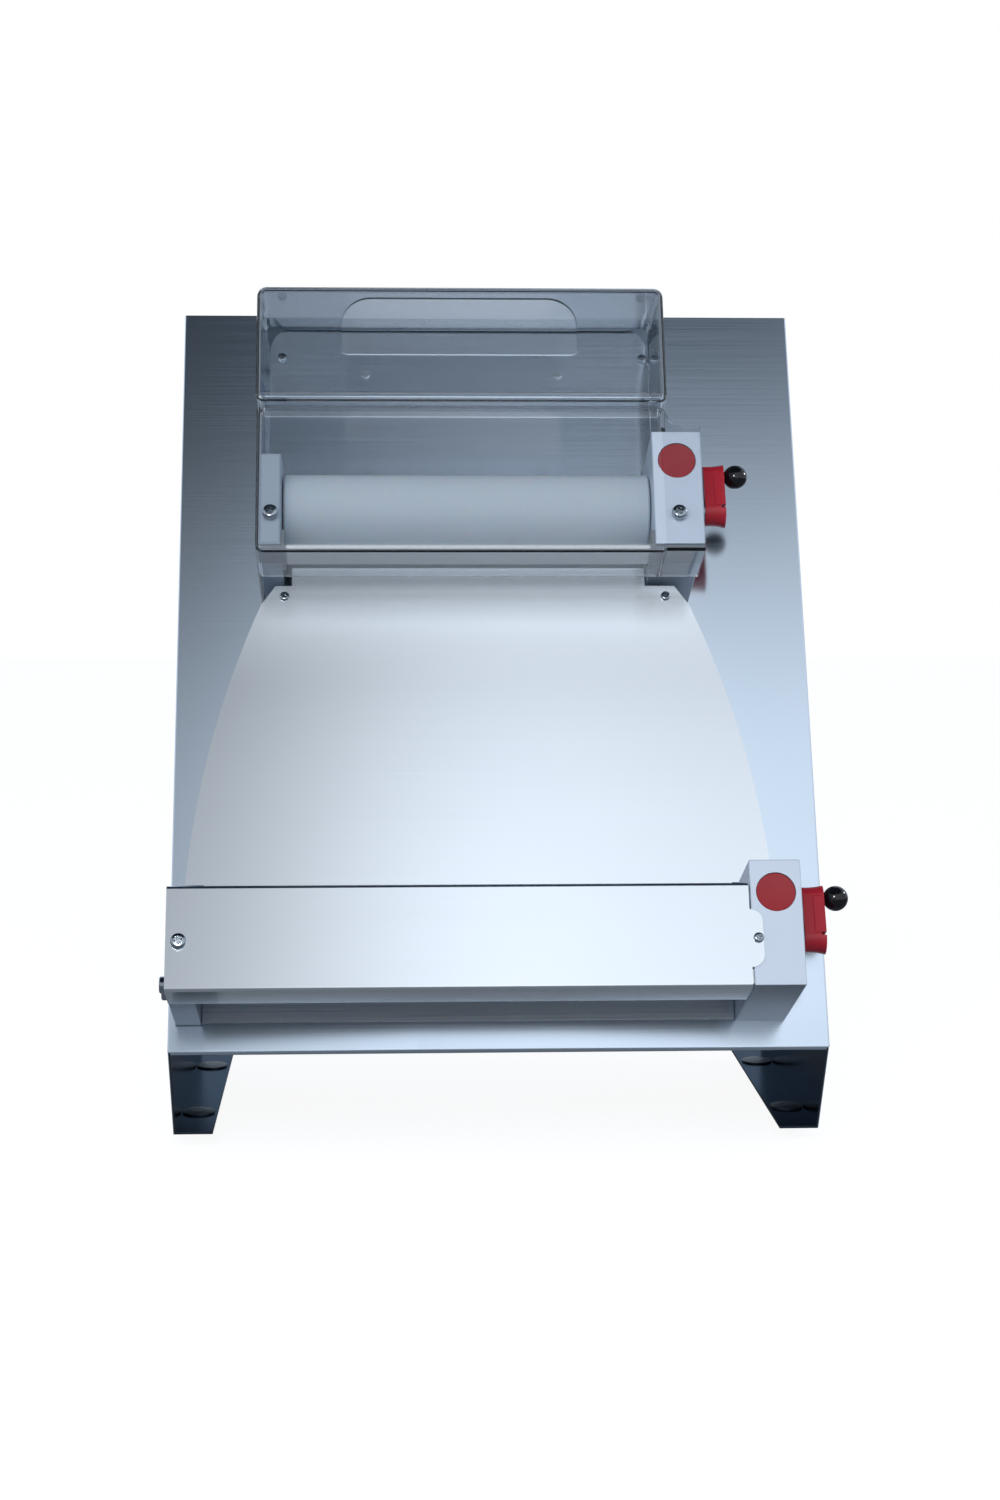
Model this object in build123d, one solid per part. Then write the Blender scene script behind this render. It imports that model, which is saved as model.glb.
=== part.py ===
"""Bench-top pizza dough roller with two roller pairs on a sloped stainless panel.

Sizes are in millimetres. The finished model stands on z = 0 with +Z up, its front towards -Y
and its origin under the middle of its box. The rollers and all that surrounds them are drawn in
the panel's own frame: x to the right, s up the slope from the lip, h out of the panel.
"""
from build123d import *
from math import acos, atan2, cos, degrees, hypot, pi, radians, sin, sqrt, tan
import os

# Body: sloped front panel, side walls with legs, base pan and back cover
PANEL_SLOPE = 65.0
BODY_WIDTH = 530.0
PANEL_LENGTH = 662.0
LIP_HEIGHT = 88.0
LIP_DEPTH = 18.0
LIP_CLEARANCE = 6.0
TOP_DEPTH = 80.0
SHEET = 1.5
SHEET_BEND = 1.5
PANEL_RIM = 1.3
SIDE_SHEET = 2.0
LEG_SETBACK = 51.0
FOOT_FLANGE = 32.0
BACK_FLANGE = 16.0
PAN_EDGE = 14.0
PAN_FRONT = 14.0
SEAM = 0.4
LOUVRE_LENGTH = 70.0
LOUVRE_WIDTH = 5.0
LOUVRE_PITCH = 14.0
LOUVRE_ROWS = 9
LOUVRE_COLUMN = 130.0
LOUVRE_LOW = 150.0

# Rubber feet and their fixings on the foot flanges
FOOT_DIAMETER = 28.0
FOOT_HEIGHT = 12.0
FOOT_INSET = 67.0
STUD_DIAMETER = 6.0
FOOT_NUT_DIAMETER = 27.0
FOOT_NUT_HEIGHT = 2.2

# Roller pairs
ROLLER_DIAMETER = 60.0
ROLLER_GAP = 2.5
GAP_TRAVEL = 2.0
UPPER_ROLLER_LENGTH = 300.0
LOWER_ROLLER_LENGTH = 426.0
ROLLER_END_GAP = 1.0
ROLLER_EDGE = 1.5
REAR_AXIS_HEIGHT = 8.0
UPPER_FROM_TOP = 271.0
LOWER_LOW_END = 25.0
UPPER_CASING_X = 127.5
LOWER_CASING_X = 189.5

# Left bearing blocks and right gear casings
BLOCK_HEIGHT = 119.0
UPPER_BLOCK_WIDTH = 17.0
LOWER_BLOCK_WIDTH = 20.0
LEFT_BLOCK_LENGTH = 80.0
CASING_WIDTH = 40.0
CASING_LENGTH = 100.0
CASING_INNER_WALL = 6.0
CASING_OUTER_WALL = 4.0
CASING_END_WALL = 4.0
CASING_ROOF = 6.0
BLOCK_EDGE = 2.0
CASING_EDGE = 1.0
BLOCK_DEPTH = 30.0
BLOCK_FIT = 0.5
ROLLER_SLOT = 66.0
PLUG_DIAMETER = 31.0
PLUG_THICKNESS = 2.8
PLUG_DISH = 0.7
PLUG_SINK = 3.5
PLUG_STEM = 14.0
PLUG_STEM_LENGTH = 9.0
PLUG_OFFSET = 24.0

# Cross beams inside the body
BEAM_WIDTH = 30.0
BEAM_HEIGHT = 14.0
BEAM_WALL = 3.0
UPPER_BEAM_SHIFT = 12.0
LOWER_BEAM_SHIFT = -24.0

# Shafts, bushes, gears and pulleys
SHAFT_DIAMETER = 16.0
BUSH_DIAMETER = 22.0
FRONT_BUSH_LENGTH = 25.0
RUNNING_CLEARANCE = 0.04
LEFT_BUSH_LENGTH = 13.0
SHAFT_END_GAP = 0.5
GEAR_TEETH = 15
GEAR_MODULE = 4.0
GEAR_WIDTH = 12.0
GEAR_GAP = 1.5
GEAR_THINNING = 0.5
PRESSURE_ANGLE = 20.0
GEAR_HUB_DIAMETER = 30.0
GEAR_HUB_REACH = 12.0
HUB_CLEARANCE = 0.6
PULLEY_WIDTH = 8.0
PULLEY_RIM = 19.0
PULLEY_GROOVE = 15.0
PULLEY_CHEEK = 0.8
BELT_WIDTH = 5.6
BELT_THICKNESS = 3.0
BELT_CLEARANCE = 0.3

# Slider and yoke that carry the front axle, eccentric shaft, lever, index pin and ball knob
SLIDER_WIDTH = 32.0
SLIDER_HEIGHT = 36.0
SLIDER_DEPTH = 13.0
SLIDE_CLEARANCE = 0.15
STOP_CLEARANCE = 0.5
YOKE_WIDTH = 30.0
YOKE_HEIGHT = 40.0
YOKE_DEPTH = 12.0
YOKE_WALL_GAP = 2.5
YOKE_BORE_DEPTH = 6.0
GUIDE_RIB = 4.0
GUIDE_REACH = 8.0
ECCENTRIC_DIAMETER = 12.0
ECCENTRIC_CLEARANCE = 0.25
LEVER_SWING = 50.0
JOURNAL_DIAMETER = 18.0
BOSS_DIAMETER = 26.0
BOSS_HEIGHT = 5.0
LEVER_GAP = 2.0
LEVER_THICKNESS = 17.0
LEVER_HUB_RADIUS = 12.5
LEVER_TIP_RADIUS = 9.6
LEVER_LENGTH = 32.0
LEVER_EDGE = 1.4
LEVER_SOCKET = 13.0
LEVER_WAIST = 1.2
LEVER_FLARE = 6.0
LEVER_SLIT = 1.6
LEVER_SLIT_LENGTH = 5.0
INDEX_PIN_DIAMETER = 6.0
INDEX_TIP_GAP = 0.25
INDEX_PULL = 6.0
INDEX_HOLES = 9
INDEX_HOLE_DIAMETER = 5.0
INDEX_HOLE_DEPTH = 1.6
BALL_DIAMETER = 20.0
BALL_GAP = 0.5
BALL_NECK = 9.0
BALL_SOCKET = 9.0

# Scrapers
SCRAPER_SHEET = 2.5
SCRAPER_GAP = 0.5
SCRAPER_EAR = 3.0
SCRAPER_EAR_WIDTH = 13.0
SCRAPER_EAR_DROP = 45.0
SCRAPER_DROP = 31.0
SCRAPER_EDGE_INSET = 2.0
SCRAPER_TOP = 2.0
REAR_BLADE = 2.0
REAR_BLADE_LENGTH = 18.0

# Hood over the upper rollers
HOOD_SHEET = 3.0
HOOD_BEND = 2.0
HOOD_LEFT = -195.0
HOOD_RIGHT = 139.6
HOOD_FLANGE = 54.5
HOOD_STEP_AT = 69.5
HOOD_STEP = 21.0
HOOD_TOP_AT = 171.0
HOOD_TOP_LEAN = 17.0
HOOD_TOP_LOW = 44.0
HOOD_CORNER = 7.0
HOOD_WING_TOP = 53.0
HOOD_WING_FILLET = 16.0
HOOD_FOOT_GAP = 0.5
WINDOW_LEFT = -125.6
WINDOW_RIGHT = 67.0
WINDOW_LOW = 108.0
WINDOW_HIGH = 160.0
WINDOW_TOP_RADIUS = 24.0
WINDOW_LOW_RADIUS = 5.0
VENT_DIAMETER = 4.0
VENT_AT = 89.0
VENT_LEFT = -106.0
VENT_RIGHT = 50.0

# Lower roller cover
COVER_FLANGE = 40.0
COVER_TOP_FLANGE = 22.0
COVER_END_GAP = 1.5
TAB_REACH = 8.5
TAB_LENGTH = 46.0
TAB_SHIFT = -13.0
TAB_RADIUS = 10.0

# Feed plate, slide tray and their stand-off posts
DECK_HEIGHT = 38.0
POST_DIAMETER = 12.0
FEED_LOW = 22.0
FEED_FROM_TOP = 34.0
FEED_CORNER = 22.0
FEED_SIDE_GAP = 1.0
FEED_LEFT_GAP = 4.0
FEED_SCREW_LEFT = 10.0
FEED_SCREW_RIGHT = 4.7
FEED_SCREW_DROP = 29.0
TRAY_CENTRE = -15.5
TRAY_TONGUE_GAP_LEFT = 6.5
TRAY_TONGUE_GAP_RIGHT = 1.5
TRAY_TONGUE_RISE = 15.0
TRAY_SHOULDER_DROP = 3.0
TRAY_SHOULDER_HALF = 166.0
TRAY_CHAMFER_HALF = 178.0
TRAY_CHAMFER_DROP = 20.0
TRAY_MIDDLE_HALF = 219.0
TRAY_MIDDLE = 240.0
TRAY_LOW_HALF = 235.5
TRAY_LOW = 130.0
TRAY_END_GAP = 2.5
TRAY_END = 34.0
TRAY_SCREW_HALF = 158.5
TRAY_SCREW_DROP = 12.5
TRAY_POST_LOW = 150.0
TRAY_POST_HALF = 190.0

# Screws and bolts
PAN_SHANK = 6.0
PAN_HEAD = 12.5
PAN_HEAD_HEIGHT = 4.2
PAN_LENGTH = 14.0
SMALL_SHANK = 4.0
SMALL_HEAD = 8.0
SMALL_HEAD_HEIGHT = 2.6
SMALL_LENGTH = 10.0
SCREW_FIT = 0.2
CROSS_WIDTH = 0.16
CROSS_REACH = 0.62
CROSS_DEPTH = 0.55
BOLT_SHANK = 6.0
BOLT_HEAD = 13.0
BOLT_HEAD_HEIGHT = 5.0
BOLT_SOCKET = 5.0
BOLT_SOCKET_DEPTH = 3.0
BOLT_INSET = 8.0
BOLT_HEIGHTS = (102.0, 80.0)
HOOD_SCREW_SHIFT = -23.5
COVER_SCREW_SHIFT = -13.0
TAB_SCREW_INSET = 4.5

# Drive inside the body
MOTOR_BACK = 278.0
MOTOR_RISE = 66.0
MOTOR_DIAMETER = 110.0
MOTOR_LENGTH = 150.0
MOTOR_RIBS = 24
MOTOR_RIB_HEIGHT = 4.0
MOTOR_RIB_WIDTH = 3.0
GEARBOX_SIZE = 96.0
GEARBOX_LENGTH = 70.0
GEARBOX_FACE = 128.0
MOTOR_FOOT_WIDTH = 130.0
MOTOR_FOOT_HEIGHT = 8.0
MOTOR_FOOT_LENGTH = 150.0
TERMINAL_BOX = 60.0
TERMINAL_HEIGHT = 22.0
OUTPUT_GAP = 0.3

# Start and stop buttons in the right side wall
BUTTON_BACK = 150.0
BUTTON_RISE = 150.0
BUTTON_PITCH = 34.0
BUTTON_DIAMETER = 18.0
BUTTON_CLEARANCE = 0.3
BUTTON_TRAVEL = 4.0
BUTTON_LENGTH = 26.0
START_PROUD = 3.0
STOP_PROUD = 6.0
COLLAR_DIAMETER = 26.0
COLLAR_HEIGHT = 2.5
NECK_DIAMETER = 22.4
BUTTON_BOX_DEPTH = 36.0
BUTTON_BOX_WIDTH = 40.0
BUTTON_BOX_HEIGHT = 84.0

# Cable gland in the back cover
GLAND_X = -190.0
GLAND_RISE = 48.0
GLAND_HEX = 22.0
GLAND_HEX_HEIGHT = 6.0
GLAND_DOME = 8.0
GLAND_THREAD = 16.0
GLAND_THREAD_LENGTH = 10.0
GLAND_BORE = 8.0

# Values worked out from the sizes above
COS = cos(radians(PANEL_SLOPE))
SIN = sin(radians(PANEL_SLOPE))
HALF_WIDTH = BODY_WIDTH / 2
INSIDE = HALF_WIDTH - SIDE_SHEET
BODY_BACK = PANEL_LENGTH * COS + TOP_DEPTH
TOP_HEIGHT = LIP_HEIGHT + PANEL_LENGTH * SIN - SHEET * COS
ROLLER_RADIUS = ROLLER_DIAMETER / 2
UPPER_LOW_END = PANEL_LENGTH - UPPER_FROM_TOP
FEED_TOP = PANEL_LENGTH - FEED_FROM_TOP
TRAY_TONGUE_TOP = UPPER_LOW_END + TRAY_TONGUE_RISE
TRAY_SHOULDER_TOP = UPPER_LOW_END - TRAY_SHOULDER_DROP
TRAY_CHAMFER_LOW = UPPER_LOW_END - TRAY_CHAMFER_DROP
TRAY_SCREW_AT = UPPER_LOW_END - TRAY_SCREW_DROP
FRONT_AXIS_HEIGHT = REAR_AXIS_HEIGHT + ROLLER_DIAMETER + ROLLER_GAP
COVER_BEND_IN = SHEET + SHEET_BEND
COVER_FRONT = (LOWER_LOW_END + SHEET_BEND) * COS - (BLOCK_HEIGHT - SHEET_BEND) * SIN - COVER_BEND_IN
GLAND_REACH = GLAND_HEX_HEIGHT + GLAND_DOME
ECCENTRIC_OFFSET = GAP_TRAVEL / sin(radians(LEVER_SWING))
YOKE_OUT = CASING_WIDTH - CASING_OUTER_WALL - YOKE_WALL_GAP
LEVER_IN = CASING_WIDTH + BOSS_HEIGHT + LEVER_GAP
LEVER_OUT = LEVER_IN + LEVER_THICKNESS
BALL_AT = LEVER_OUT + BALL_GAP + BALL_DIAMETER / 2
GEAR_IN = CASING_INNER_WALL + GEAR_GAP
GEAR_OUT = GEAR_IN + GEAR_WIDTH
PULLEY_IN = GEAR_OUT + GEAR_GAP
PULLEY_MIDDLE = PULLEY_IN + PULLEY_WIDTH / 2
DECK_TOP = DECK_HEIGHT + SHEET
KNOB_REACH = LOWER_CASING_X + BALL_AT + BALL_DIAMETER / 2

# The body's place in the finished frame, so that the origin lies under the middle of the box
BODY_X = -(KNOB_REACH - HALF_WIDTH) / 2
LIP_Y = -(COVER_FRONT + BODY_BACK + GLAND_REACH) / 2
BODY = Pos(BODY_X, LIP_Y, 0)
SLOPE = Plane(origin=(BODY_X, LIP_Y, LIP_HEIGHT), x_dir=(1, 0, 0), z_dir=(0, -SIN, COS)).location


class Stage:
    """One roller pair: its axis up the slope and the inner faces that its rollers run between."""

    def __init__(self, name, low_end, roller_length, casing_x, beam_shift, block_width):
        self.name = name
        self.low_end = low_end
        self.axis = low_end + CASING_LENGTH / 2
        self.right = casing_x
        self.left = casing_x - roller_length - 2 * ROLLER_END_GAP
        self.beam = self.axis + beam_shift
        self.block_width = block_width
        self.left_middle = self.left - block_width / 2
        self.casing_middle = self.right + CASING_WIDTH / 2


UPPER = Stage("upper", UPPER_LOW_END, UPPER_ROLLER_LENGTH, UPPER_CASING_X, UPPER_BEAM_SHIFT,
              UPPER_BLOCK_WIDTH)
LOWER = Stage("lower", LOWER_LOW_END, LOWER_ROLLER_LENGTH, LOWER_CASING_X, LOWER_BEAM_SHIFT,
              LOWER_BLOCK_WIDTH)
STAGES = (UPPER, LOWER)


def slab(x0, x1, y0, y1, z0, z1):
    """A block between two corners."""
    return Pos((x0 + x1) / 2, (y0 + y1) / 2, (z0 + z1) / 2) * Box(x1 - x0, y1 - y0, z1 - z0)


def bar(x0, x1, y, z, diameter):
    """A round bar along x."""
    return Pos((x0 + x1) / 2, y, z) * Rot(0, 90, 0) * Cylinder(diameter / 2, x1 - x0)


def post(x, y, z0, z1, diameter):
    """A round bar along z."""
    return Pos(x, y, (z0 + z1) / 2) * Cylinder(diameter / 2, z1 - z0)


def across(profile, x0, x1):
    """A profile drawn in the (y, z) plane, drawn out along x."""
    return extrude(Plane.YZ.offset(x0) * profile, amount=x1 - x0, dir=(1, 0, 0))


def upright(outline, z0, z1):
    """An outline drawn in the (x, y) plane, drawn out along z."""
    return extrude(Pos(0, 0, z0) * outline, amount=z1 - z0, dir=(0, 0, 1))


def turned(points):
    """A turned piece about the x axis, from a half profile of (x, radius) points."""
    return revolve(make_face(Polyline(*points, close=True)), axis=Axis.X)


def polygon(*points):
    """A flat face with straight sides."""
    return make_face(Polyline(*points, close=True))


def bent_sheet(points, thickness, bend):
    """The section of a folded sheet, from the line along its middle and the inner bend radius."""
    steps = [(b[0] - a[0], b[1] - a[1]) for a, b in zip(points, points[1:])]
    ways = [(dx / hypot(dx, dy), dy / hypot(dx, dy)) for dx, dy in steps]
    sides = {1: [], -1: []}
    radii = {1: [], -1: []}
    for i, (px, py) in enumerate(points):
        before = ways[max(i - 1, 0)]
        after = ways[min(i, len(ways) - 1)]
        nx, ny = -(before[1] + after[1]), before[0] + after[0]
        scale = thickness / (nx * -after[1] + ny * after[0])
        turn = before[0] * after[1] - before[1] * after[0]
        for side in (1, -1):
            sides[side].append((px + side * nx * scale / 2, py + side * ny * scale / 2))
            inner = bend if turn * side > 0 else bend + thickness
            radii[side].append(inner if 0 < i < len(points) - 1 else 0)
    outline = sides[1] + sides[-1][::-1]
    return make_face(FilletPolyline(*outline, radius=radii[1] + radii[-1][::-1], close=True))


def group(pieces):
    """Identical pieces that share one node."""
    return Compound(children=list(pieces))


def on_slope(piece):
    """Place a piece drawn in the panel's frame."""
    return SLOPE * piece


def in_body(piece):
    """Place a piece drawn from the lip, with y backwards and z up from the table."""
    return BODY * piece


def body_point(s, h):
    """A point of the panel's frame as (y behind the lip, z above the table)."""
    return (s * COS - h * SIN, LIP_HEIGHT + s * SIN + h * COS)


def slope_point(y, z):
    """A point (y behind the lip, z above the table) in the panel's frame."""
    return (y * COS + (z - LIP_HEIGHT) * SIN, (z - LIP_HEIGHT) * COS - y * SIN)


# Body


def panel_opening(stage):
    """The hole behind one roller pair: left block, roller and the inside of the casing."""
    low = stage.low_end - BLOCK_FIT
    block = slab(stage.left - stage.block_width - BLOCK_FIT, stage.left + BLOCK_FIT,
                 low, stage.low_end + LEFT_BLOCK_LENGTH + BLOCK_FIT, -2 * SHEET, SHEET)
    roller = slab(stage.left, stage.right, stage.axis - ROLLER_SLOT / 2, stage.axis + ROLLER_SLOT / 2,
                  -2 * SHEET, SHEET)
    reach = CASING_LENGTH / 2 - CASING_END_WALL
    casing = slab(stage.right - BLOCK_FIT, stage.right + CASING_WIDTH + BLOCK_FIT,
                  stage.axis - reach, stage.axis + reach, -2 * SHEET, SHEET)
    return block + roller + casing


def front_panel():
    """Sloped panel with its lip folded back under it."""
    middle = SHEET / 2
    corner_s = middle * (1 + COS) / SIN
    lip = [(LIP_DEPTH, LIP_HEIGHT + middle), body_point(corner_s, -middle),
           body_point(PANEL_LENGTH, -middle)]
    panel = in_body(across(bent_sheet(lip, SHEET, SHEET_BEND), -HALF_WIDTH, HALF_WIDTH))
    long_rims = panel.edges().filter_by(
        lambda e: e.length > PANEL_LENGTH / 2 and abs(abs(e.center().X - BODY_X) - HALF_WIDTH) < SEAM)
    panel = fillet(long_rims.sort_by(lambda e: e.center().Z * COS - e.center().Y * SIN)[-2:], PANEL_RIM)
    behind = body_point(0, -SHEET)[0] + SEAM
    for side in (-1, 1):
        near, far = sorted((side * (INSIDE - SEAM), side * (HALF_WIDTH + SEAM)))
        panel -= in_body(slab(near, far, behind, LIP_DEPTH + SEAM,
                              LIP_HEIGHT - SHEET, LIP_HEIGHT + 2 * SHEET))
    for stage in STAGES:
        panel -= on_slope(panel_opening(stage))
    return panel


def side_panel(side):
    """Side wall with its leg, inward foot flange and back flange."""
    front_low = body_point(LIP_CLEARANCE, -SHEET)
    front_high = body_point(PANEL_LENGTH, -SHEET)
    wall = polygon(front_low, front_high, (BODY_BACK, front_high[1]), (BODY_BACK, FOOT_HEIGHT),
                   (LEG_SETBACK, FOOT_HEIGHT))
    piece = across(wall, INSIDE, HALF_WIDTH)
    piece += slab(HALF_WIDTH - FOOT_FLANGE, INSIDE, LEG_SETBACK, BODY_BACK,
                  FOOT_HEIGHT, FOOT_HEIGHT + SIDE_SHEET)
    piece += slab(INSIDE - BACK_FLANGE, INSIDE, BODY_BACK - SHEET - SIDE_SHEET, BODY_BACK - SHEET,
                  LIP_HEIGHT, TOP_HEIGHT - 2 * SHEET)
    for y in FOOT_PLACES:
        piece -= post(HALF_WIDTH - FOOT_FLANGE / 2, y, 0, 2 * FOOT_HEIGHT, STUD_DIAMETER + SCREW_FIT)
    for z in BACK_SCREW_HEIGHTS:
        piece -= Pos(INSIDE - BACK_FLANGE / 2, BODY_BACK, z) * Rot(90, 0, 0) * Cylinder(
            (SMALL_SHANK + SCREW_FIT) / 2, 4 * SIDE_SHEET)
    if side > 0:
        for z in BUTTON_HEIGHTS:
            piece -= bar(INSIDE - SHEET, HALF_WIDTH + SHEET, BUTTON_BACK, z, NECK_DIAMETER + SEAM)
        return in_body(piece)
    return in_body(mirror(piece, about=Plane.YZ))


FOOT_PLACES = (LEG_SETBACK + FOOT_INSET, BODY_BACK - FOOT_INSET)
BUTTON_HEIGHTS = (LIP_HEIGHT + BUTTON_RISE - BUTTON_PITCH / 2, LIP_HEIGHT + BUTTON_RISE + BUTTON_PITCH / 2)
BACK_SCREW_COUNT = 4
BACK_SCREW_LOW = LIP_HEIGHT + 40.0
BACK_SCREW_STEP = (TOP_HEIGHT - 40.0 - BACK_SCREW_LOW) / (BACK_SCREW_COUNT - 1)
BACK_SCREW_HEIGHTS = [BACK_SCREW_LOW + i * BACK_SCREW_STEP for i in range(BACK_SCREW_COUNT)]


def base_pan():
    """Floor of the body, resting on the lip, with its front and back edges folded up."""
    z = LIP_HEIGHT + SHEET * 1.5
    front = PAN_FRONT + SHEET / 2
    back = BODY_BACK - SHEET * 1.5 - SIDE_SHEET
    line = [(front, z + PAN_EDGE), (front, z), (back, z), (back, z + PAN_EDGE)]
    return in_body(across(bent_sheet(line, SHEET, SHEET_BEND), -INSIDE, INSIDE))


def back_cover():
    """Top and back of the body in one folded sheet, with ventilation slots."""
    front = body_point(PANEL_LENGTH, -SHEET)[0] + SEAM
    back = BODY_BACK - SHEET / 2
    top = TOP_HEIGHT - SHEET / 2
    cover = across(bent_sheet([(front, top), (back, top), (back, LIP_HEIGHT)], SHEET, SHEET_BEND),
                   -INSIDE + SEAM, INSIDE - SEAM)
    for column in (-1, 1):
        for row in range(LOUVRE_ROWS):
            slot = Rot(90, 0, 0) * SlotOverall(LOUVRE_LENGTH, LOUVRE_WIDTH)
            place = Pos(column * LOUVRE_COLUMN / 2, BODY_BACK + SHEET, LOUVRE_LOW + row * LOUVRE_PITCH)
            cover -= extrude(place * slot, amount=4 * SHEET, dir=(0, -1, 0))
    for side in (-1, 1):
        for z in BACK_SCREW_HEIGHTS:
            cover -= Pos(side * (INSIDE - BACK_FLANGE / 2), BODY_BACK, z) * Rot(90, 0, 0) * Cylinder(
                (SMALL_SHANK + SCREW_FIT) / 2, 4 * SHEET)
    gland_z = LIP_HEIGHT + GLAND_RISE
    cover -= Pos(GLAND_X, BODY_BACK, gland_z) * Rot(90, 0, 0) * Cylinder(GLAND_THREAD / 2, 4 * SHEET)
    return in_body(cover)


def cross_beams():
    """Two channels between the side walls that carry the blocks and casings."""
    half = BEAM_WIDTH / 2
    bars = []
    for stage in STAGES:
        line = [(stage.beam - half + BEAM_WALL / 2, -BLOCK_DEPTH - BEAM_HEIGHT),
                (stage.beam - half + BEAM_WALL / 2, -BLOCK_DEPTH - BEAM_WALL / 2),
                (stage.beam + half - BEAM_WALL / 2, -BLOCK_DEPTH - BEAM_WALL / 2),
                (stage.beam + half - BEAM_WALL / 2, -BLOCK_DEPTH - BEAM_HEIGHT)]
        bars.append(on_slope(across(bent_sheet(line, BEAM_WALL, SHEET_BEND), -INSIDE, INSIDE)))
    return group(bars)


def rubber_feet():
    """Four moulded feet under the foot flanges."""
    section = polygon((0, 0), (FOOT_DIAMETER / 2 - 2, 0), (FOOT_DIAMETER / 2, FOOT_HEIGHT), (0, FOOT_HEIGHT))
    foot = revolve(section.rotate(Axis.X, 90), axis=Axis.Z)
    foot -= post(0, 0, FOOT_HEIGHT / 2, FOOT_HEIGHT + 1, STUD_DIAMETER)
    return group(in_body(Pos(x, y, 0) * foot) for x, y in foot_points())


def foot_points():
    """Where the feet are, from the middle of the lip."""
    x = HALF_WIDTH - FOOT_FLANGE / 2
    return [(side * x, y) for side in (-1, 1) for y in FOOT_PLACES]


def foot_fixings():
    """Domed flange nuts with their studs, holding the feet to the flanges."""
    top = FOOT_HEIGHT + SIDE_SHEET
    low, stud, rim = FOOT_HEIGHT / 2, STUD_DIAMETER / 2, FOOT_NUT_DIAMETER / 2
    section = polygon((0, low), (stud, low), (stud, top), (rim, top), (rim, top + SHEET),
                      (2 * stud, top + FOOT_NUT_HEIGHT), (0, top + FOOT_NUT_HEIGHT))
    nut = revolve(section.rotate(Axis.X, 90), axis=Axis.Z)
    return group(in_body(Pos(x, y, 0) * nut) for x, y in foot_points())


# Blocks and casings


def left_block(stage):
    """Bearing block with a blind bore for the rear bush and a pocket for the slider."""
    inner = stage.left
    block = slab(inner - stage.block_width, inner, stage.low_end, stage.low_end + LEFT_BLOCK_LENGTH,
                 -BLOCK_DEPTH, BLOCK_HEIGHT)
    block = fillet(block.faces().sort_by(Axis.Z)[-1].edges(), BLOCK_EDGE)
    block -= bar(inner - LEFT_BUSH_LENGTH, inner + 1, stage.axis, REAR_AXIS_HEIGHT, BUSH_DIAMETER)
    wide = SLIDER_WIDTH / 2 + SLIDE_CLEARANCE
    tall = SLIDER_HEIGHT / 2 + GAP_TRAVEL + STOP_CLEARANCE
    block -= slab(inner - SLIDER_DEPTH, inner + 1, stage.axis - wide, stage.axis + wide,
                  FRONT_AXIS_HEIGHT - tall, FRONT_AXIS_HEIGHT + tall)
    for s, h in bolt_points(stage):
        block -= bar(inner - stage.block_width - 1, inner + 1, s, h, BOLT_SHANK + SCREW_FIT)
        block -= bar(inner - stage.block_width - 1, bolt_seat(stage), s, h, BOLT_HEAD + SCREW_FIT)
    shift = HOOD_SCREW_SHIFT if stage is UPPER else COVER_SCREW_SHIFT
    block -= post(stage.left_middle, stage.axis + shift, BLOCK_HEIGHT - PAN_LENGTH, BLOCK_HEIGHT + 1,
                  PAN_SHANK + SCREW_FIT)
    return on_slope(block)


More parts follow.
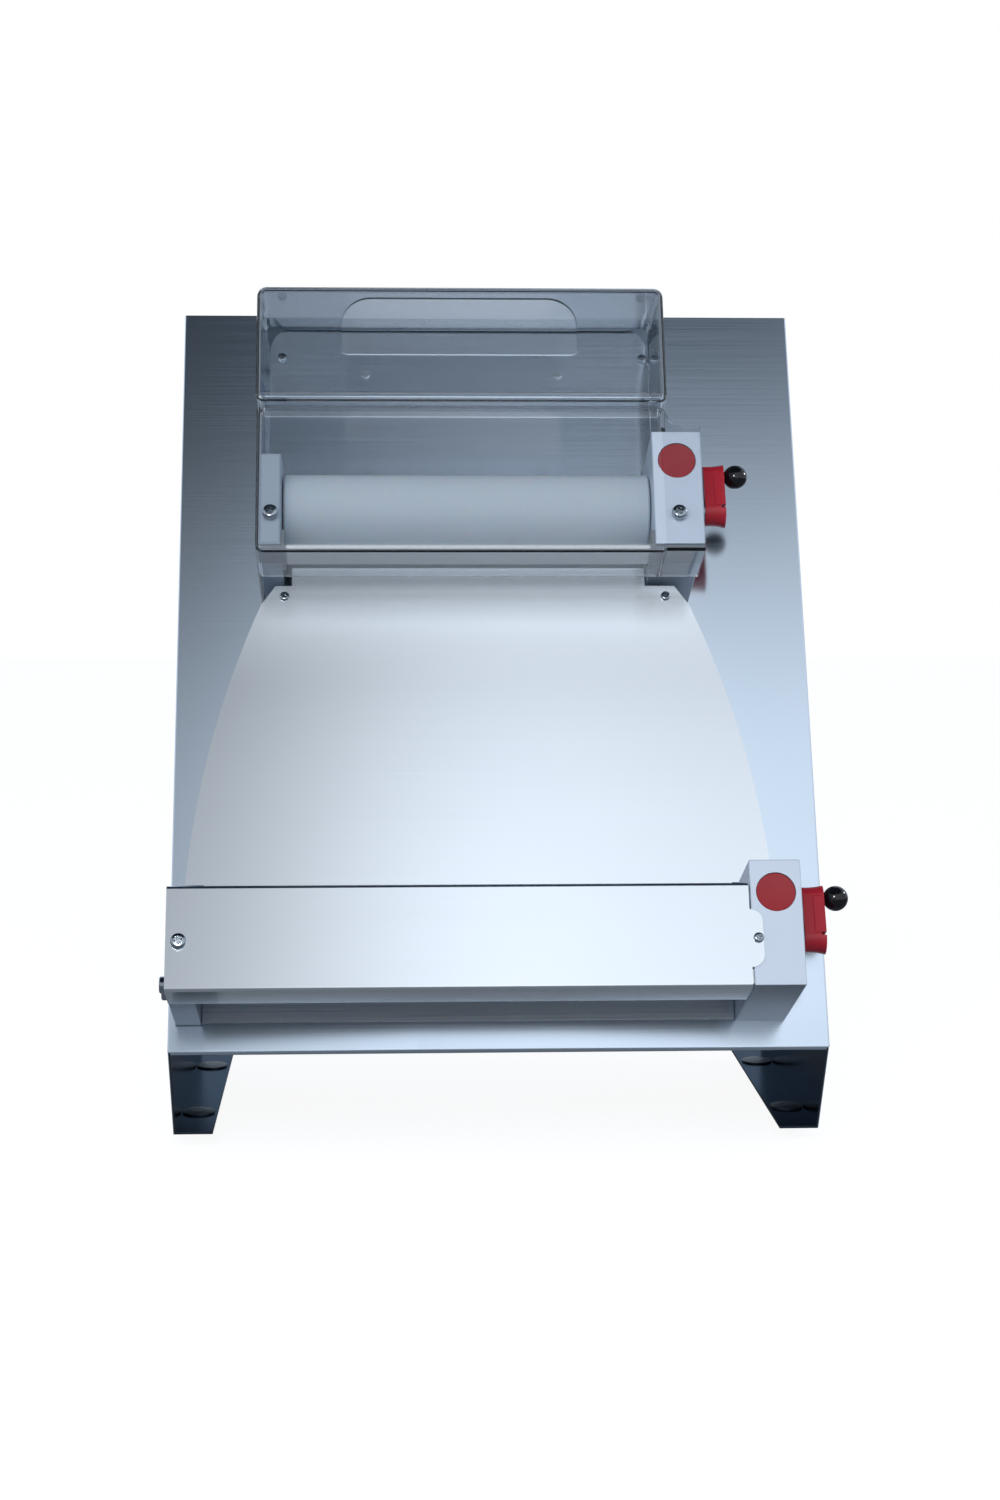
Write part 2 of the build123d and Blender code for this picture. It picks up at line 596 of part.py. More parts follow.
def right_casing(stage):
    """Gear casing, open towards the inside of the body, with guides for the yoke."""
    inner, outer = stage.right, stage.right + CASING_WIDTH
    low, high = stage.low_end, stage.low_end + CASING_LENGTH
    casing = slab(inner, outer, low, high, 0, BLOCK_HEIGHT)
    rims = casing.faces().sort_by(Axis.Z)[-1].edges() + casing.edges().filter_by(Axis.Z)
    casing = fillet(rims, CASING_EDGE)
    casing -= slab(inner + CASING_INNER_WALL, outer - CASING_OUTER_WALL, low + CASING_END_WALL,
                   high - CASING_END_WALL, -1, BLOCK_HEIGHT - CASING_ROOF)
    leg_low, leg_high = low + CASING_END_WALL + BLOCK_FIT, high - CASING_END_WALL - BLOCK_FIT
    casing += slab(inner, inner + CASING_INNER_WALL, leg_low, leg_high, -BLOCK_DEPTH, CASING_EDGE)
    casing += slab(outer - CASING_OUTER_WALL, outer, leg_low, leg_high, -BLOCK_DEPTH, CASING_EDGE)
    casing += bar(outer - CASING_EDGE, outer + BOSS_HEIGHT, stage.axis, FRONT_AXIS_HEIGHT, BOSS_DIAMETER)
    wide = YOKE_WIDTH / 2 + SLIDE_CLEARANCE
    tall = YOKE_HEIGHT / 2 + GAP_TRAVEL
    for side in (-1, 1):
        near, far = sorted((stage.axis + side * wide, stage.axis + side * (wide + GUIDE_RIB)))
        casing += slab(outer - CASING_OUTER_WALL - GUIDE_REACH, outer - CASING_OUTER_WALL / 2, near, far,
                       FRONT_AXIS_HEIGHT - tall, FRONT_AXIS_HEIGHT + tall)
    casing -= bar(outer - CASING_OUTER_WALL - 1, outer + BOSS_HEIGHT + 1, stage.axis, FRONT_AXIS_HEIGHT,
                  JOURNAL_DIAMETER + 2 * RUNNING_CLEARANCE)
    casing -= bar(inner - 1, inner + CASING_INNER_WALL + 1, stage.axis, REAR_AXIS_HEIGHT, BUSH_DIAMETER)
    hub_slot = Rot(0, 0, 90) * SlotCenterToCenter(2 * GAP_TRAVEL, GEAR_HUB_DIAMETER + 2 * HUB_CLEARANCE)
    casing -= across(Pos(stage.axis, FRONT_AXIS_HEIGHT) * hub_slot, inner - 1, inner + CASING_INNER_WALL + 1)
    plug_s = stage.axis + PLUG_OFFSET
    casing -= post(stage.casing_middle, plug_s, BLOCK_HEIGHT - PLUG_SINK, BLOCK_HEIGHT + 1,
                   PLUG_DIAMETER + SCREW_FIT)
    casing -= post(stage.casing_middle, plug_s, BLOCK_HEIGHT - CASING_ROOF - 1, BLOCK_HEIGHT,
                   PLUG_STEM)
    for angle in index_angles():
        s, h = stage.axis + LEVER_LENGTH * cos(angle), FRONT_AXIS_HEIGHT + LEVER_LENGTH * sin(angle)
        dimple = Cone(INDEX_HOLE_DIAMETER / 4, INDEX_HOLE_DIAMETER / 2, 2 * INDEX_HOLE_DEPTH)
        casing -= Pos(outer, s, h) * Rot(0, 90, 0) * dimple
    if stage is UPPER:
        casing -= post(stage.casing_middle, stage.axis + HOOD_SCREW_SHIFT, BLOCK_HEIGHT - CASING_ROOF - 1,
                       BLOCK_HEIGHT + 1, PAN_SHANK + SCREW_FIT)
    else:
        casing -= post(inner + TAB_SCREW_INSET, stage.axis + TAB_SHIFT, BLOCK_HEIGHT - SMALL_LENGTH,
                       BLOCK_HEIGHT + 1, SMALL_SHANK + SCREW_FIT)
    return on_slope(casing)


def index_angles():
    """Lever positions that have an index hole."""
    step = 2 * LEVER_SWING / (INDEX_HOLES - 1)
    return [radians(-LEVER_SWING + i * step) for i in range(INDEX_HOLES)]


def bolt_points(stage):
    """Bolts through the left block into the scraper's ear."""
    return [(stage.low_end + BOLT_INSET, h) for h in BOLT_HEIGHTS]


def bolt_seat(stage):
    """Where the bolt heads sit: sunk in the upper block, behind the hood, and proud of the lower one."""
    sink = BOLT_HEAD_HEIGHT + SCREW_FIT if stage is UPPER else 0
    return stage.left - stage.block_width + sink


def casing_plugs():
    """Red press-in plugs in the front of the two casings, with a slightly dished face."""
    top = BLOCK_HEIGHT - PLUG_SINK + PLUG_THICKNESS
    low = BLOCK_HEIGHT - PLUG_SINK
    rim = PLUG_DIAMETER / 2
    end, stem = low - PLUG_STEM_LENGTH + PLUG_SINK, PLUG_STEM / 2
    section = polygon((0, end), (stem, end), (stem, low), (rim, low), (rim, top - PLUG_DISH),
                      (rim - PLUG_DISH, top), (rim - 2 * PLUG_DISH, top), (0, top - PLUG_DISH))
    plug = revolve(section.rotate(Axis.X, 90), axis=Axis.Z)
    return group(on_slope(Pos(stage.casing_middle, stage.axis + PLUG_OFFSET, 0) * plug) for stage in STAGES)


def rear_bushes():
    """Bronze sleeves for the two rear shafts."""
    bore = SHAFT_DIAMETER / 2 + RUNNING_CLEARANCE
    sleeves = []
    for stage in STAGES:
        spans = ((stage.left - LEFT_BUSH_LENGTH, stage.left), (stage.right, stage.right + CASING_INNER_WALL))
        for x0, x1 in spans:
            sleeve = turned([(x0, bore), (x0, BUSH_DIAMETER / 2), (x1, BUSH_DIAMETER / 2), (x1, bore)])
            sleeves.append(on_slope(Pos(0, stage.axis, REAR_AXIS_HEIGHT) * sleeve))
    return group(sleeves)


def scrapers(stage):
    """Folded scraper under the front roller and flat blade under the rear roller."""
    half = SCRAPER_SHEET / 2
    edge = stage.axis - ROLLER_RADIUS - SCRAPER_GAP - half
    under = stage is UPPER
    wall = stage.low_end - half if under else stage.low_end + SCRAPER_EDGE_INSET + half
    level = BLOCK_HEIGHT - SCRAPER_DROP
    top = BLOCK_HEIGHT - SCRAPER_TOP
    line = [(edge, FRONT_AXIS_HEIGHT), (wall, level), (wall, top)]
    front = across(bent_sheet(line, SCRAPER_SHEET, SHEET_BEND), stage.left, stage.right)
    ear = (wall, stage.low_end + SCRAPER_EAR_WIDTH, BLOCK_HEIGHT - SCRAPER_EAR_DROP, top)
    front += slab(stage.left, stage.left + SCRAPER_EAR, *ear)
    front += slab(stage.right - SCRAPER_EAR, stage.right, *ear)
    if under:
        strip = (wall - half, wall + half, level + SCRAPER_SHEET, top)
        front += slab(stage.left - stage.block_width, stage.left + SCRAPER_EAR, *strip)
        front += slab(stage.right - SCRAPER_EAR, stage.right + CASING_WIDTH, *strip)
    for s, h in bolt_points(stage):
        front -= bar(stage.left - 1, stage.left + SCRAPER_EAR + 1, s, h, BOLT_SHANK)
    low = REAR_AXIS_HEIGHT - REAR_BLADE
    tip = stage.axis - sqrt(ROLLER_RADIUS ** 2 - low ** 2) - SCRAPER_GAP
    blade = polygon((tip, REAR_BLADE), (tip - REAR_BLADE, 0), (tip - REAR_BLADE_LENGTH, 0),
                    (tip - REAR_BLADE_LENGTH, REAR_BLADE))
    rear = across(blade, stage.left + ROLLER_END_GAP, stage.right - ROLLER_END_GAP)
    return group([on_slope(front), on_slope(rear)])


# Rollers, shafts, gears and pulleys


def gear_outline(phase):
    """Involute spur gear section, with one tooth pointing at the phase angle."""
    pitch = GEAR_MODULE * GEAR_TEETH / 2
    base = pitch * cos(radians(PRESSURE_ANGLE))
    tip = pitch + GEAR_MODULE
    root = pitch - 1.25 * GEAR_MODULE

    def half_angle(radius):
        def involute(r):
            return tan(acos(base / r)) - acos(base / r)
        at_pitch = pi / (2 * GEAR_TEETH) - GEAR_THINNING / (2 * pitch)
        return at_pitch + involute(pitch) - involute(max(radius, base))

    def at(radius, angle):
        return (radius * cos(angle), radius * sin(angle))

    lines = []
    middle = (base + tip) / 2
    for tooth in range(GEAR_TEETH):
        centre = phase + 2 * pi * tooth / GEAR_TEETH
        following = centre + 2 * pi / GEAR_TEETH
        low, mid, high = half_angle(base), half_angle(middle), half_angle(tip)
        lines.append(Line(at(root, centre - low), at(base, centre - low)))
        lines.append(ThreePointArc(at(base, centre - low), at(middle, centre - mid), at(tip, centre - high)))
        lines.append(Line(at(tip, centre - high), at(tip, centre + high)))
        lines.append(ThreePointArc(at(tip, centre + high), at(middle, centre + mid), at(base, centre + low)))
        lines.append(Line(at(base, centre + low), at(root, centre + low)))
        lines.append(Line(at(root, centre + low), at(root, following - low)))
    return make_face(lines)


def rear_roller(stage):
    """White plastic roller pressed on the rear shaft."""
    return on_slope(Pos(0, stage.axis, REAR_AXIS_HEIGHT) * roller_sleeve(stage, SHAFT_DIAMETER))


def roller_sleeve(stage, bore):
    """Plain roller body with softened ends."""
    x0, x1 = stage.left + ROLLER_END_GAP, stage.right - ROLLER_END_GAP
    outside, edge = ROLLER_RADIUS, ROLLER_EDGE
    return turned([(x0, bore / 2), (x0, outside - edge), (x0 + edge, outside), (x1 - edge, outside),
                   (x1, outside - edge), (x1, bore / 2)])


def rear_shaft(stage):
    """Driven shaft through the rear roller, gear and pulley."""
    x0 = stage.left - LEFT_BUSH_LENGTH + SHAFT_END_GAP
    x1 = stage.right + PULLEY_IN + PULLEY_WIDTH + SHAFT_END_GAP
    return on_slope(bar(x0, x1, stage.axis, REAR_AXIS_HEIGHT, SHAFT_DIAMETER))


def rear_gear(stage):
    """Gear on the rear shaft, with a tooth pointing at the front gear."""
    gear = across(gear_outline(pi / 2), stage.right + GEAR_IN, stage.right + GEAR_OUT)
    gear -= bar(stage.right, stage.right + CASING_WIDTH, 0, 0, SHAFT_DIAMETER)
    return on_slope(Pos(0, stage.axis, REAR_AXIS_HEIGHT) * gear)


def pulley(x_middle):
    """Flat-belt pulley with two cheeks, about the x axis."""
    half = PULLEY_WIDTH / 2
    floor = half - PULLEY_CHEEK
    bore = SHAFT_DIAMETER / 2
    return Pos(x_middle, 0, 0) * turned([
        (-half, bore), (-half, PULLEY_RIM), (-floor, PULLEY_RIM), (-floor, PULLEY_GROOVE),
        (floor, PULLEY_GROOVE), (floor, PULLEY_RIM), (half, PULLEY_RIM), (half, bore)])


def rear_pulley(stage):
    """Driven pulley on the rear shaft."""
    return on_slope(Pos(0, stage.axis, REAR_AXIS_HEIGHT) * pulley(stage.right + PULLEY_MIDDLE))


def front_roller(stage):
    """White plastic roller that turns on the front axle, with a seat for the gear's hub."""
    roller = roller_sleeve(stage, BUSH_DIAMETER)
    x1 = stage.right - ROLLER_END_GAP
    roller -= bar(x1 - GEAR_HUB_REACH, x1 + 1, 0, 0, GEAR_HUB_DIAMETER)
    return on_slope(Pos(0, stage.axis, FRONT_AXIS_HEIGHT) * roller)


def front_gear(stage):
    """Gear whose hub is pressed into the front roller, with a gap facing the rear gear."""
    gear = across(gear_outline(pi / 2), stage.right + GEAR_IN, stage.right + GEAR_OUT)
    hub = stage.right - ROLLER_END_GAP - GEAR_HUB_REACH
    gear += bar(hub, stage.right + GEAR_IN, 0, 0, GEAR_HUB_DIAMETER)
    gear -= bar(hub - 1, stage.right + CASING_WIDTH, 0, 0, BUSH_DIAMETER)
    return on_slope(Pos(0, stage.axis, FRONT_AXIS_HEIGHT) * gear)


def front_bushes(stage):
    """Bronze sleeves that let the front roller turn on its axle."""
    bore = SHAFT_DIAMETER / 2 + RUNNING_CLEARANCE
    sleeves = []
    for x0 in (stage.left + ROLLER_END_GAP, stage.right + GEAR_OUT - FRONT_BUSH_LENGTH):
        x1 = x0 + FRONT_BUSH_LENGTH
        sleeve = turned([(x0, bore), (x0, BUSH_DIAMETER / 2), (x1, BUSH_DIAMETER / 2), (x1, bore)])
        sleeves.append(on_slope(Pos(0, stage.axis, FRONT_AXIS_HEIGHT) * sleeve))
    return group(sleeves)


# Gap adjustment


def left_slider(stage):
    """Block that holds the left end of the front axle and slides in the left bearing block."""
    x0, x1 = stage.left - SLIDER_DEPTH + SLIDE_CLEARANCE, stage.left - SLIDE_CLEARANCE
    slider = slab(x0, x1, stage.axis - SLIDER_WIDTH / 2, stage.axis + SLIDER_WIDTH / 2,
                  FRONT_AXIS_HEIGHT - SLIDER_HEIGHT / 2, FRONT_AXIS_HEIGHT + SLIDER_HEIGHT / 2)
    slider = chamfer(slider.edges().filter_by(Axis.X), ROLLER_EDGE)
    slider -= bar(x0 - 1, x1 + 1, stage.axis, FRONT_AXIS_HEIGHT, SHAFT_DIAMETER)
    return on_slope(slider)


def front_axle(stage):
    """Fixed axle of the front roller, held by the slider and the yoke."""
    x0 = stage.left - SLIDER_DEPTH + SLIDE_CLEARANCE
    x1 = stage.right + YOKE_OUT - YOKE_DEPTH + YOKE_BORE_DEPTH
    return on_slope(bar(x0, x1, stage.axis, FRONT_AXIS_HEIGHT, SHAFT_DIAMETER))


def right_yoke(stage):
    """Plate that holds the right end of the front axle, with a cross slot for the eccentric."""
    x1 = stage.right + YOKE_OUT
    x0 = x1 - YOKE_DEPTH
    yoke = slab(x0, x1, stage.axis - YOKE_WIDTH / 2, stage.axis + YOKE_WIDTH / 2,
                FRONT_AXIS_HEIGHT - YOKE_HEIGHT / 2, FRONT_AXIS_HEIGHT + YOKE_HEIGHT / 2)
    yoke = chamfer(yoke.edges().filter_by(Axis.X), ROLLER_EDGE)
    yoke -= bar(x0 - 1, x0 + YOKE_BORE_DEPTH, stage.axis, FRONT_AXIS_HEIGHT, SHAFT_DIAMETER)
    slot = SlotOverall(ECCENTRIC_DIAMETER + 2 * (ECCENTRIC_OFFSET + STOP_CLEARANCE),
                       ECCENTRIC_DIAMETER + 2 * ECCENTRIC_CLEARANCE)
    yoke -= across(Pos(stage.axis, FRONT_AXIS_HEIGHT) * slot, x0 + YOKE_BORE_DEPTH + STOP_CLEARANCE, x1 + 1)
    return on_slope(yoke)


def eccentric_shaft(stage):
    """Journal in the casing's boss with an eccentric disc that works in the yoke."""
    x0 = stage.right + YOKE_OUT - YOKE_DEPTH + YOKE_BORE_DEPTH + 2 * STOP_CLEARANCE
    x1 = stage.right + YOKE_OUT + STOP_CLEARANCE
    disc = bar(x0, x1, stage.axis + ECCENTRIC_OFFSET, FRONT_AXIS_HEIGHT, ECCENTRIC_DIAMETER)
    journal = bar(x1, stage.right + LEVER_IN + LEVER_SOCKET, stage.axis, FRONT_AXIS_HEIGHT, JOURNAL_DIAMETER)
    return on_slope(disc + journal)


def lever_outline(inset):
    """The lever's side view about its turning axis, drawn in by the inset."""
    tip = Pos(LEVER_LENGTH, 0) * Circle(LEVER_TIP_RADIUS - inset)
    return make_hull(Circle(LEVER_HUB_RADIUS - inset).edges() + tip.edges())


def lever(stage):
    """Red thickness lever with a flared rim, a blind shaft socket, a clamp slit and an index bore."""
    x0, x1 = stage.right + LEVER_IN, stage.right + LEVER_OUT
    waist = x1 - LEVER_FLARE
    arm = across(lever_outline(LEVER_WAIST), x0, waist)
    rim = [Plane.YZ.offset(waist) * lever_outline(LEVER_WAIST), Plane.YZ.offset(x1) * lever_outline(0)]
    arm += loft(rim, ruled=True)
    arm = chamfer(arm.edges().filter_by_position(Axis.X, x0, x0), LEVER_EDGE)
    arm = chamfer(arm.edges().filter_by_position(Axis.X, x1, x1), LEVER_EDGE / 2)
    arm -= bar(x0 - 1, x0 + LEVER_SOCKET, 0, 0, JOURNAL_DIAMETER)
    arm -= bar(x0 - 1, x1 + 1, LEVER_LENGTH, 0, INDEX_PIN_DIAMETER + 2 * RUNNING_CLEARANCE)
    arm -= slab(x1 - LEVER_SLIT_LENGTH, x1 + 1, -LEVER_SLIT / 2, LEVER_SLIT / 2, 0, 2 * LEVER_HUB_RADIUS)
    return on_slope(Pos(0, stage.axis, FRONT_AXIS_HEIGHT) * arm)


def index_pin(stage):
    """Sprung pin that drops into the index holes of the casing."""
    tip = stage.right + CASING_WIDTH + INDEX_TIP_GAP
    end = stage.right + BALL_AT - BALL_DIAMETER / 2 + BALL_SOCKET
    radius = INDEX_PIN_DIAMETER / 2
    pin = turned([(tip, 0), (tip, radius / 2), (tip + radius / 2, radius), (end, radius), (end, 0)])
    return on_slope(Pos(0, stage.axis + LEVER_LENGTH, FRONT_AXIS_HEIGHT) * pin)


def ball_knob(stage):
    """Black ball knob with a flat neck, screwed on the index pin."""
    centre = stage.right + BALL_AT
    radius = BALL_DIAMETER / 2
    flat = centre - radius + 0.5 * (radius - sqrt(radius ** 2 - (BALL_NECK / 2) ** 2))
    ball = Pos(centre, 0, 0) * Sphere(radius)
    ball += bar(flat, centre, 0, 0, BALL_NECK)
    ball -= bar(flat - 1, centre - radius + BALL_SOCKET, 0, 0, INDEX_PIN_DIAMETER)
    return on_slope(Pos(0, stage.axis + LEVER_LENGTH, FRONT_AXIS_HEIGHT) * ball)


# Hood, cover, feed plate and tray


def hood():
    """Clear bent hood: stepped front with a feed window, side walls and a wing over the casing."""
    half = HOOD_SHEET / 2
    low = UPPER.low_end - SCRAPER_SHEET - half - BLOCK_FIT
    face = BLOCK_HEIGHT + half
    step = UPPER.axis + HOOD_STEP_AT
    top = UPPER.axis + HOOD_TOP_AT - half
    raised = face + HOOD_STEP
    line = [(low, face - HOOD_FLANGE), (low, face), (step, face), (step, raised), (top, raised),
            (top + HOOD_TOP_LEAN, HOOD_TOP_LOW)]
    lean = HOOD_TOP_LEAN / (raised - HOOD_TOP_LOW)
    left_foot, right_foot = HOOD_FOOT_GAP, DECK_TOP + HOOD_FOOT_GAP
    shell = across(bent_sheet(line, HOOD_SHEET, HOOD_BEND), HOOD_LEFT, HOOD_RIGHT)
    left_wall = polygon((low - half, left_foot), (low - half, face), (step, face), (step, raised),
                        (top + half, raised), (top + half + lean * (raised - left_foot), left_foot))
    shell += across(left_wall, HOOD_LEFT, HOOD_LEFT + HOOD_SHEET)
    wall_low = UPPER.axis + HOOD_WING_TOP
    right_wall = polygon((wall_low, right_foot), (wall_low, face), (step, face), (step, raised),
                         (top + half, raised), (top + half + lean * (raised - right_foot), right_foot))
    shell += across(right_wall, HOOD_RIGHT - HOOD_SHEET, HOOD_RIGHT)
    shell += hood_wing(low - half, face)
    for x, side in ((HOOD_LEFT, 1), (HOOD_RIGHT, -1)):
        cut = corner_cut(x, side, 0, HOOD_CORNER, -2 * raised, HOOD_SHEET)
        shell -= Pos(0, top + half, raised) * Rot(degrees(atan2(lean, 1)), 0, 0) * cut
    shell -= upright(window_outline(), face + half, raised + HOOD_SHEET)
    for x in (VENT_LEFT, VENT_RIGHT):
        shell -= post(x, UPPER.axis + VENT_AT, face + half, raised + HOOD_SHEET, VENT_DIAMETER)
    for x in (UPPER.left_middle, UPPER.casing_middle):
        shell -= post(x, UPPER.axis + HOOD_SCREW_SHIFT, BLOCK_HEIGHT - 1, face + HOOD_SHEET,
                      PAN_SHANK + SCREW_FIT)
    return on_slope(shell)


def corner_cut(x, side, s, radius, h0, h1):
    """The waste outside a rounded corner whose sides run from x towards side and down from s."""
    near, far = sorted((x - side, x + side * radius))
    waste = slab(near, far, s - radius, s + 1, h0, h1)
    return waste - post(x + side * radius, s - radius, h0 - 1, h1 + 1, 2 * radius)


def hood_wing(low, face):
    """The hood's lower plate carried on over the right casing, with its flange."""
    right = UPPER.right + CASING_WIDTH
    top = UPPER.axis + HOOD_WING_TOP
    overlap = HOOD_RIGHT - HOOD_SHEET
    rise = top + HOOD_WING_FILLET
    outline = make_face([
        Line((overlap, low), (right, low)), Line((right, low), (right, top)),
        Line((right, top), (HOOD_RIGHT + HOOD_WING_FILLET, top)),
        RadiusArc((HOOD_RIGHT + HOOD_WING_FILLET, top), (HOOD_RIGHT, rise), HOOD_WING_FILLET),
        Line((HOOD_RIGHT, rise), (overlap, rise)), Line((overlap, rise), (overlap, low))])
    wing = upright(outline, BLOCK_HEIGHT, BLOCK_HEIGHT + HOOD_SHEET)
    wing += slab(overlap, right, low, low + HOOD_SHEET, face - HOOD_FLANGE, BLOCK_HEIGHT + HOOD_SHEET / 2)
    return fillet(wing.edges().filter_by(Axis.X).sort_by(lambda e: e.center().Z - e.center().Y)[-1],
                  HOOD_SHEET)


def window_outline():
    """Feed window with large upper corners and small lower ones."""
    low, high = UPPER.axis + WINDOW_LOW, UPPER.axis + WINDOW_HIGH
    corners = [(WINDOW_LEFT, low), (WINDOW_RIGHT, low), (WINDOW_RIGHT, high), (WINDOW_LEFT, high)]
    radii = [WINDOW_LOW_RADIUS, WINDOW_LOW_RADIUS, WINDOW_TOP_RADIUS, WINDOW_TOP_RADIUS]
    return make_face(FilletPolyline(*corners, radius=radii, close=True))


def lower_cover():
    """Folded stainless cover over the lower rollers, with a tab on the casing."""
    low = LOWER.low_end - SHEET / 2
    high = LOWER.low_end + LEFT_BLOCK_LENGTH + SHEET / 2
    face = BLOCK_HEIGHT + SHEET / 2
    left = LOWER.left - LOWER.block_width
    right = LOWER.right - COVER_END_GAP
    line = [(low, face - COVER_FLANGE), (low, face), (high, face), (high, face - COVER_TOP_FLANGE)]
    cover = across(bent_sheet(line, SHEET, SHEET_BEND), left, right)
    tab_end = LOWER.right + TAB_REACH
    tab_middle = LOWER.axis + TAB_SHIFT
    tab = Pos(tab_end - 2 * TAB_RADIUS, tab_middle) * RectangleRounded(
        4 * TAB_RADIUS, TAB_LENGTH, TAB_RADIUS)
    cover += upright(tab, BLOCK_HEIGHT, BLOCK_HEIGHT + SHEET)
    cover -= post(LOWER.left_middle, LOWER.axis + COVER_SCREW_SHIFT, BLOCK_HEIGHT - 1,
                  BLOCK_HEIGHT + 2 * SHEET, PAN_SHANK + SCREW_FIT)
    cover -= post(LOWER.right + TAB_SCREW_INSET, tab_middle, BLOCK_HEIGHT - 1, BLOCK_HEIGHT + 2 * SHEET,
                  SMALL_SHANK + SCREW_FIT)
    return on_slope(cover)


def feed_points():
    """Screws of the feed plate."""
    s = FEED_TOP - FEED_SCREW_DROP
    left = HOOD_LEFT + HOOD_SHEET + FEED_LEFT_GAP
    right = HOOD_RIGHT - HOOD_SHEET - FEED_SIDE_GAP
    return [(left + FEED_SCREW_LEFT, s), (right - FEED_SCREW_RIGHT, s)]


def tray_points():
    """Screws of the slide tray."""
    return [(TRAY_CENTRE + side * TRAY_SCREW_HALF, TRAY_SCREW_AT) for side in (-1, 1)]


def post_points():
    """Every stand-off post under the feed plate and the tray."""
    low = [(TRAY_CENTRE + side * TRAY_POST_HALF, TRAY_POST_LOW) for side in (-1, 1)]
    return feed_points() + tray_points() + low


def feed_plate():
    """Plate that leads the dough to the upper rollers, folded back to the panel at its top."""
    left = HOOD_LEFT + HOOD_SHEET + FEED_LEFT_GAP
    right = HOOD_RIGHT - HOOD_SHEET - FEED_SIDE_GAP
    low = UPPER.axis + FEED_LOW
    middle = DECK_HEIGHT + SHEET / 2
    line = [(low, middle), (FEED_TOP - SHEET / 2, middle), (FEED_TOP - SHEET / 2, 0)]
    plate = across(bent_sheet(line, SHEET, SHEET_BEND), left, right)
    corners = [(left, low), (right, low), (right, FEED_TOP), (left, FEED_TOP)]
    outline = make_face(FilletPolyline(*corners, radius=[0, 0, FEED_CORNER, FEED_CORNER], close=True))
    plate &= upright(outline, -1, DECK_TOP + 1)
    casing_end = UPPER.low_end + CASING_LENGTH + FEED_SIDE_GAP
    block_end = UPPER.low_end + LEFT_BLOCK_LENGTH + FEED_SIDE_GAP
    plate -= slab(UPPER.right - FEED_SIDE_GAP, right + 1, low - 1, casing_end, -1, DECK_TOP + 1)
    plate -= slab(left - 1, UPPER.left + FEED_SIDE_GAP, low - 1, block_end, -1, DECK_TOP + 1)
    for x, s in feed_points():
        plate -= post(x, s, DECK_HEIGHT - 1, DECK_TOP + 1, SMALL_SHANK + SCREW_FIT)
    return on_slope(plate)


def tray_plate():
    """Slide tray with a tongue, shoulders and barrel-shaped sides."""
    def mirrored(points):
        return [(2 * TRAY_CENTRE - x, s) for x, s in points]

    side = [(TRAY_CENTRE + TRAY_SHOULDER_HALF, TRAY_SHOULDER_TOP),
            (TRAY_CENTRE + TRAY_CHAMFER_HALF, TRAY_CHAMFER_LOW),
            (TRAY_CENTRE + TRAY_MIDDLE_HALF, TRAY_MIDDLE), (TRAY_CENTRE + TRAY_LOW_HALF, TRAY_LOW)]
    other = mirrored(side)
    tongue_right = UPPER.right - TRAY_TONGUE_GAP_RIGHT
    tongue_left = UPPER.left + TRAY_TONGUE_GAP_LEFT
    end_right = LOWER.right - TRAY_END_GAP
    end_left = LOWER.left + TRAY_END_GAP
    end = LOWER.axis + TRAY_END
    outline = make_face([
        Polyline((end_left, TRAY_LOW), (end_left, end), (end_right, end), (end_right, TRAY_LOW), side[3]),
        ThreePointArc(side[3], side[2], side[1]),
        Polyline(side[1], side[0], (tongue_right, TRAY_SHOULDER_TOP), (tongue_right, TRAY_TONGUE_TOP),
                 (tongue_left, TRAY_TONGUE_TOP), (tongue_left, TRAY_SHOULDER_TOP), other[0], other[1]),
        ThreePointArc(other[1], other[2], other[3]),
        Line(other[3], (end_left, TRAY_LOW))])
    plate = upright(outline, DECK_HEIGHT, DECK_TOP)
    for x, s in tray_points():
        plate -= post(x, s, DECK_HEIGHT - 1, DECK_TOP + 1, SMALL_SHANK + SCREW_FIT)
    return on_slope(plate)


def stand_offs():
    """Posts between the panel and the two plates."""
    stand = post(0, 0, 0, DECK_HEIGHT, POST_DIAMETER)
    stand -= post(0, 0, DECK_HEIGHT - SMALL_LENGTH, DECK_HEIGHT + 1, SMALL_SHANK)
    return group(on_slope(Pos(x, s, 0) * stand) for x, s in post_points())


# Screws and bolts


def cross_screw(head, height, shank, length):
    """Domed cross-recess screw with its seat at z = 0."""
    rim = height * 0.35
    dome = ThreePointArc((head / 2, rim), (head / 3.2, height * 0.86), (0, height))
    sides = Polyline((0, height), (0, -length), (shank / 2, -length), (shank / 2, 0), (head / 2, 0),
                     (head / 2, rim))
    section = make_face([sides, dome])
    screw = revolve(section.rotate(Axis.X, 90), axis=Axis.Z)
    reach, width, deep = head * CROSS_REACH, head * CROSS_WIDTH, height * CROSS_DEPTH
    for turn in (0, 90):
        screw -= Pos(0, 0, height) * Rot(0, 0, turn) * Box(reach, width, 2 * deep)
    return screw


def pan_screws():
    """Large screws of the hood and the lower cover."""
    screw = cross_screw(PAN_HEAD, PAN_HEAD_HEIGHT, PAN_SHANK, PAN_LENGTH)
    seats = [(x, UPPER.axis + HOOD_SCREW_SHIFT, BLOCK_HEIGHT + HOOD_SHEET)
             for x in (UPPER.left_middle, UPPER.casing_middle)]
    seats.append((LOWER.left_middle, LOWER.axis + COVER_SCREW_SHIFT, BLOCK_HEIGHT + SHEET))
    return group(on_slope(Pos(*seat) * screw) for seat in seats)


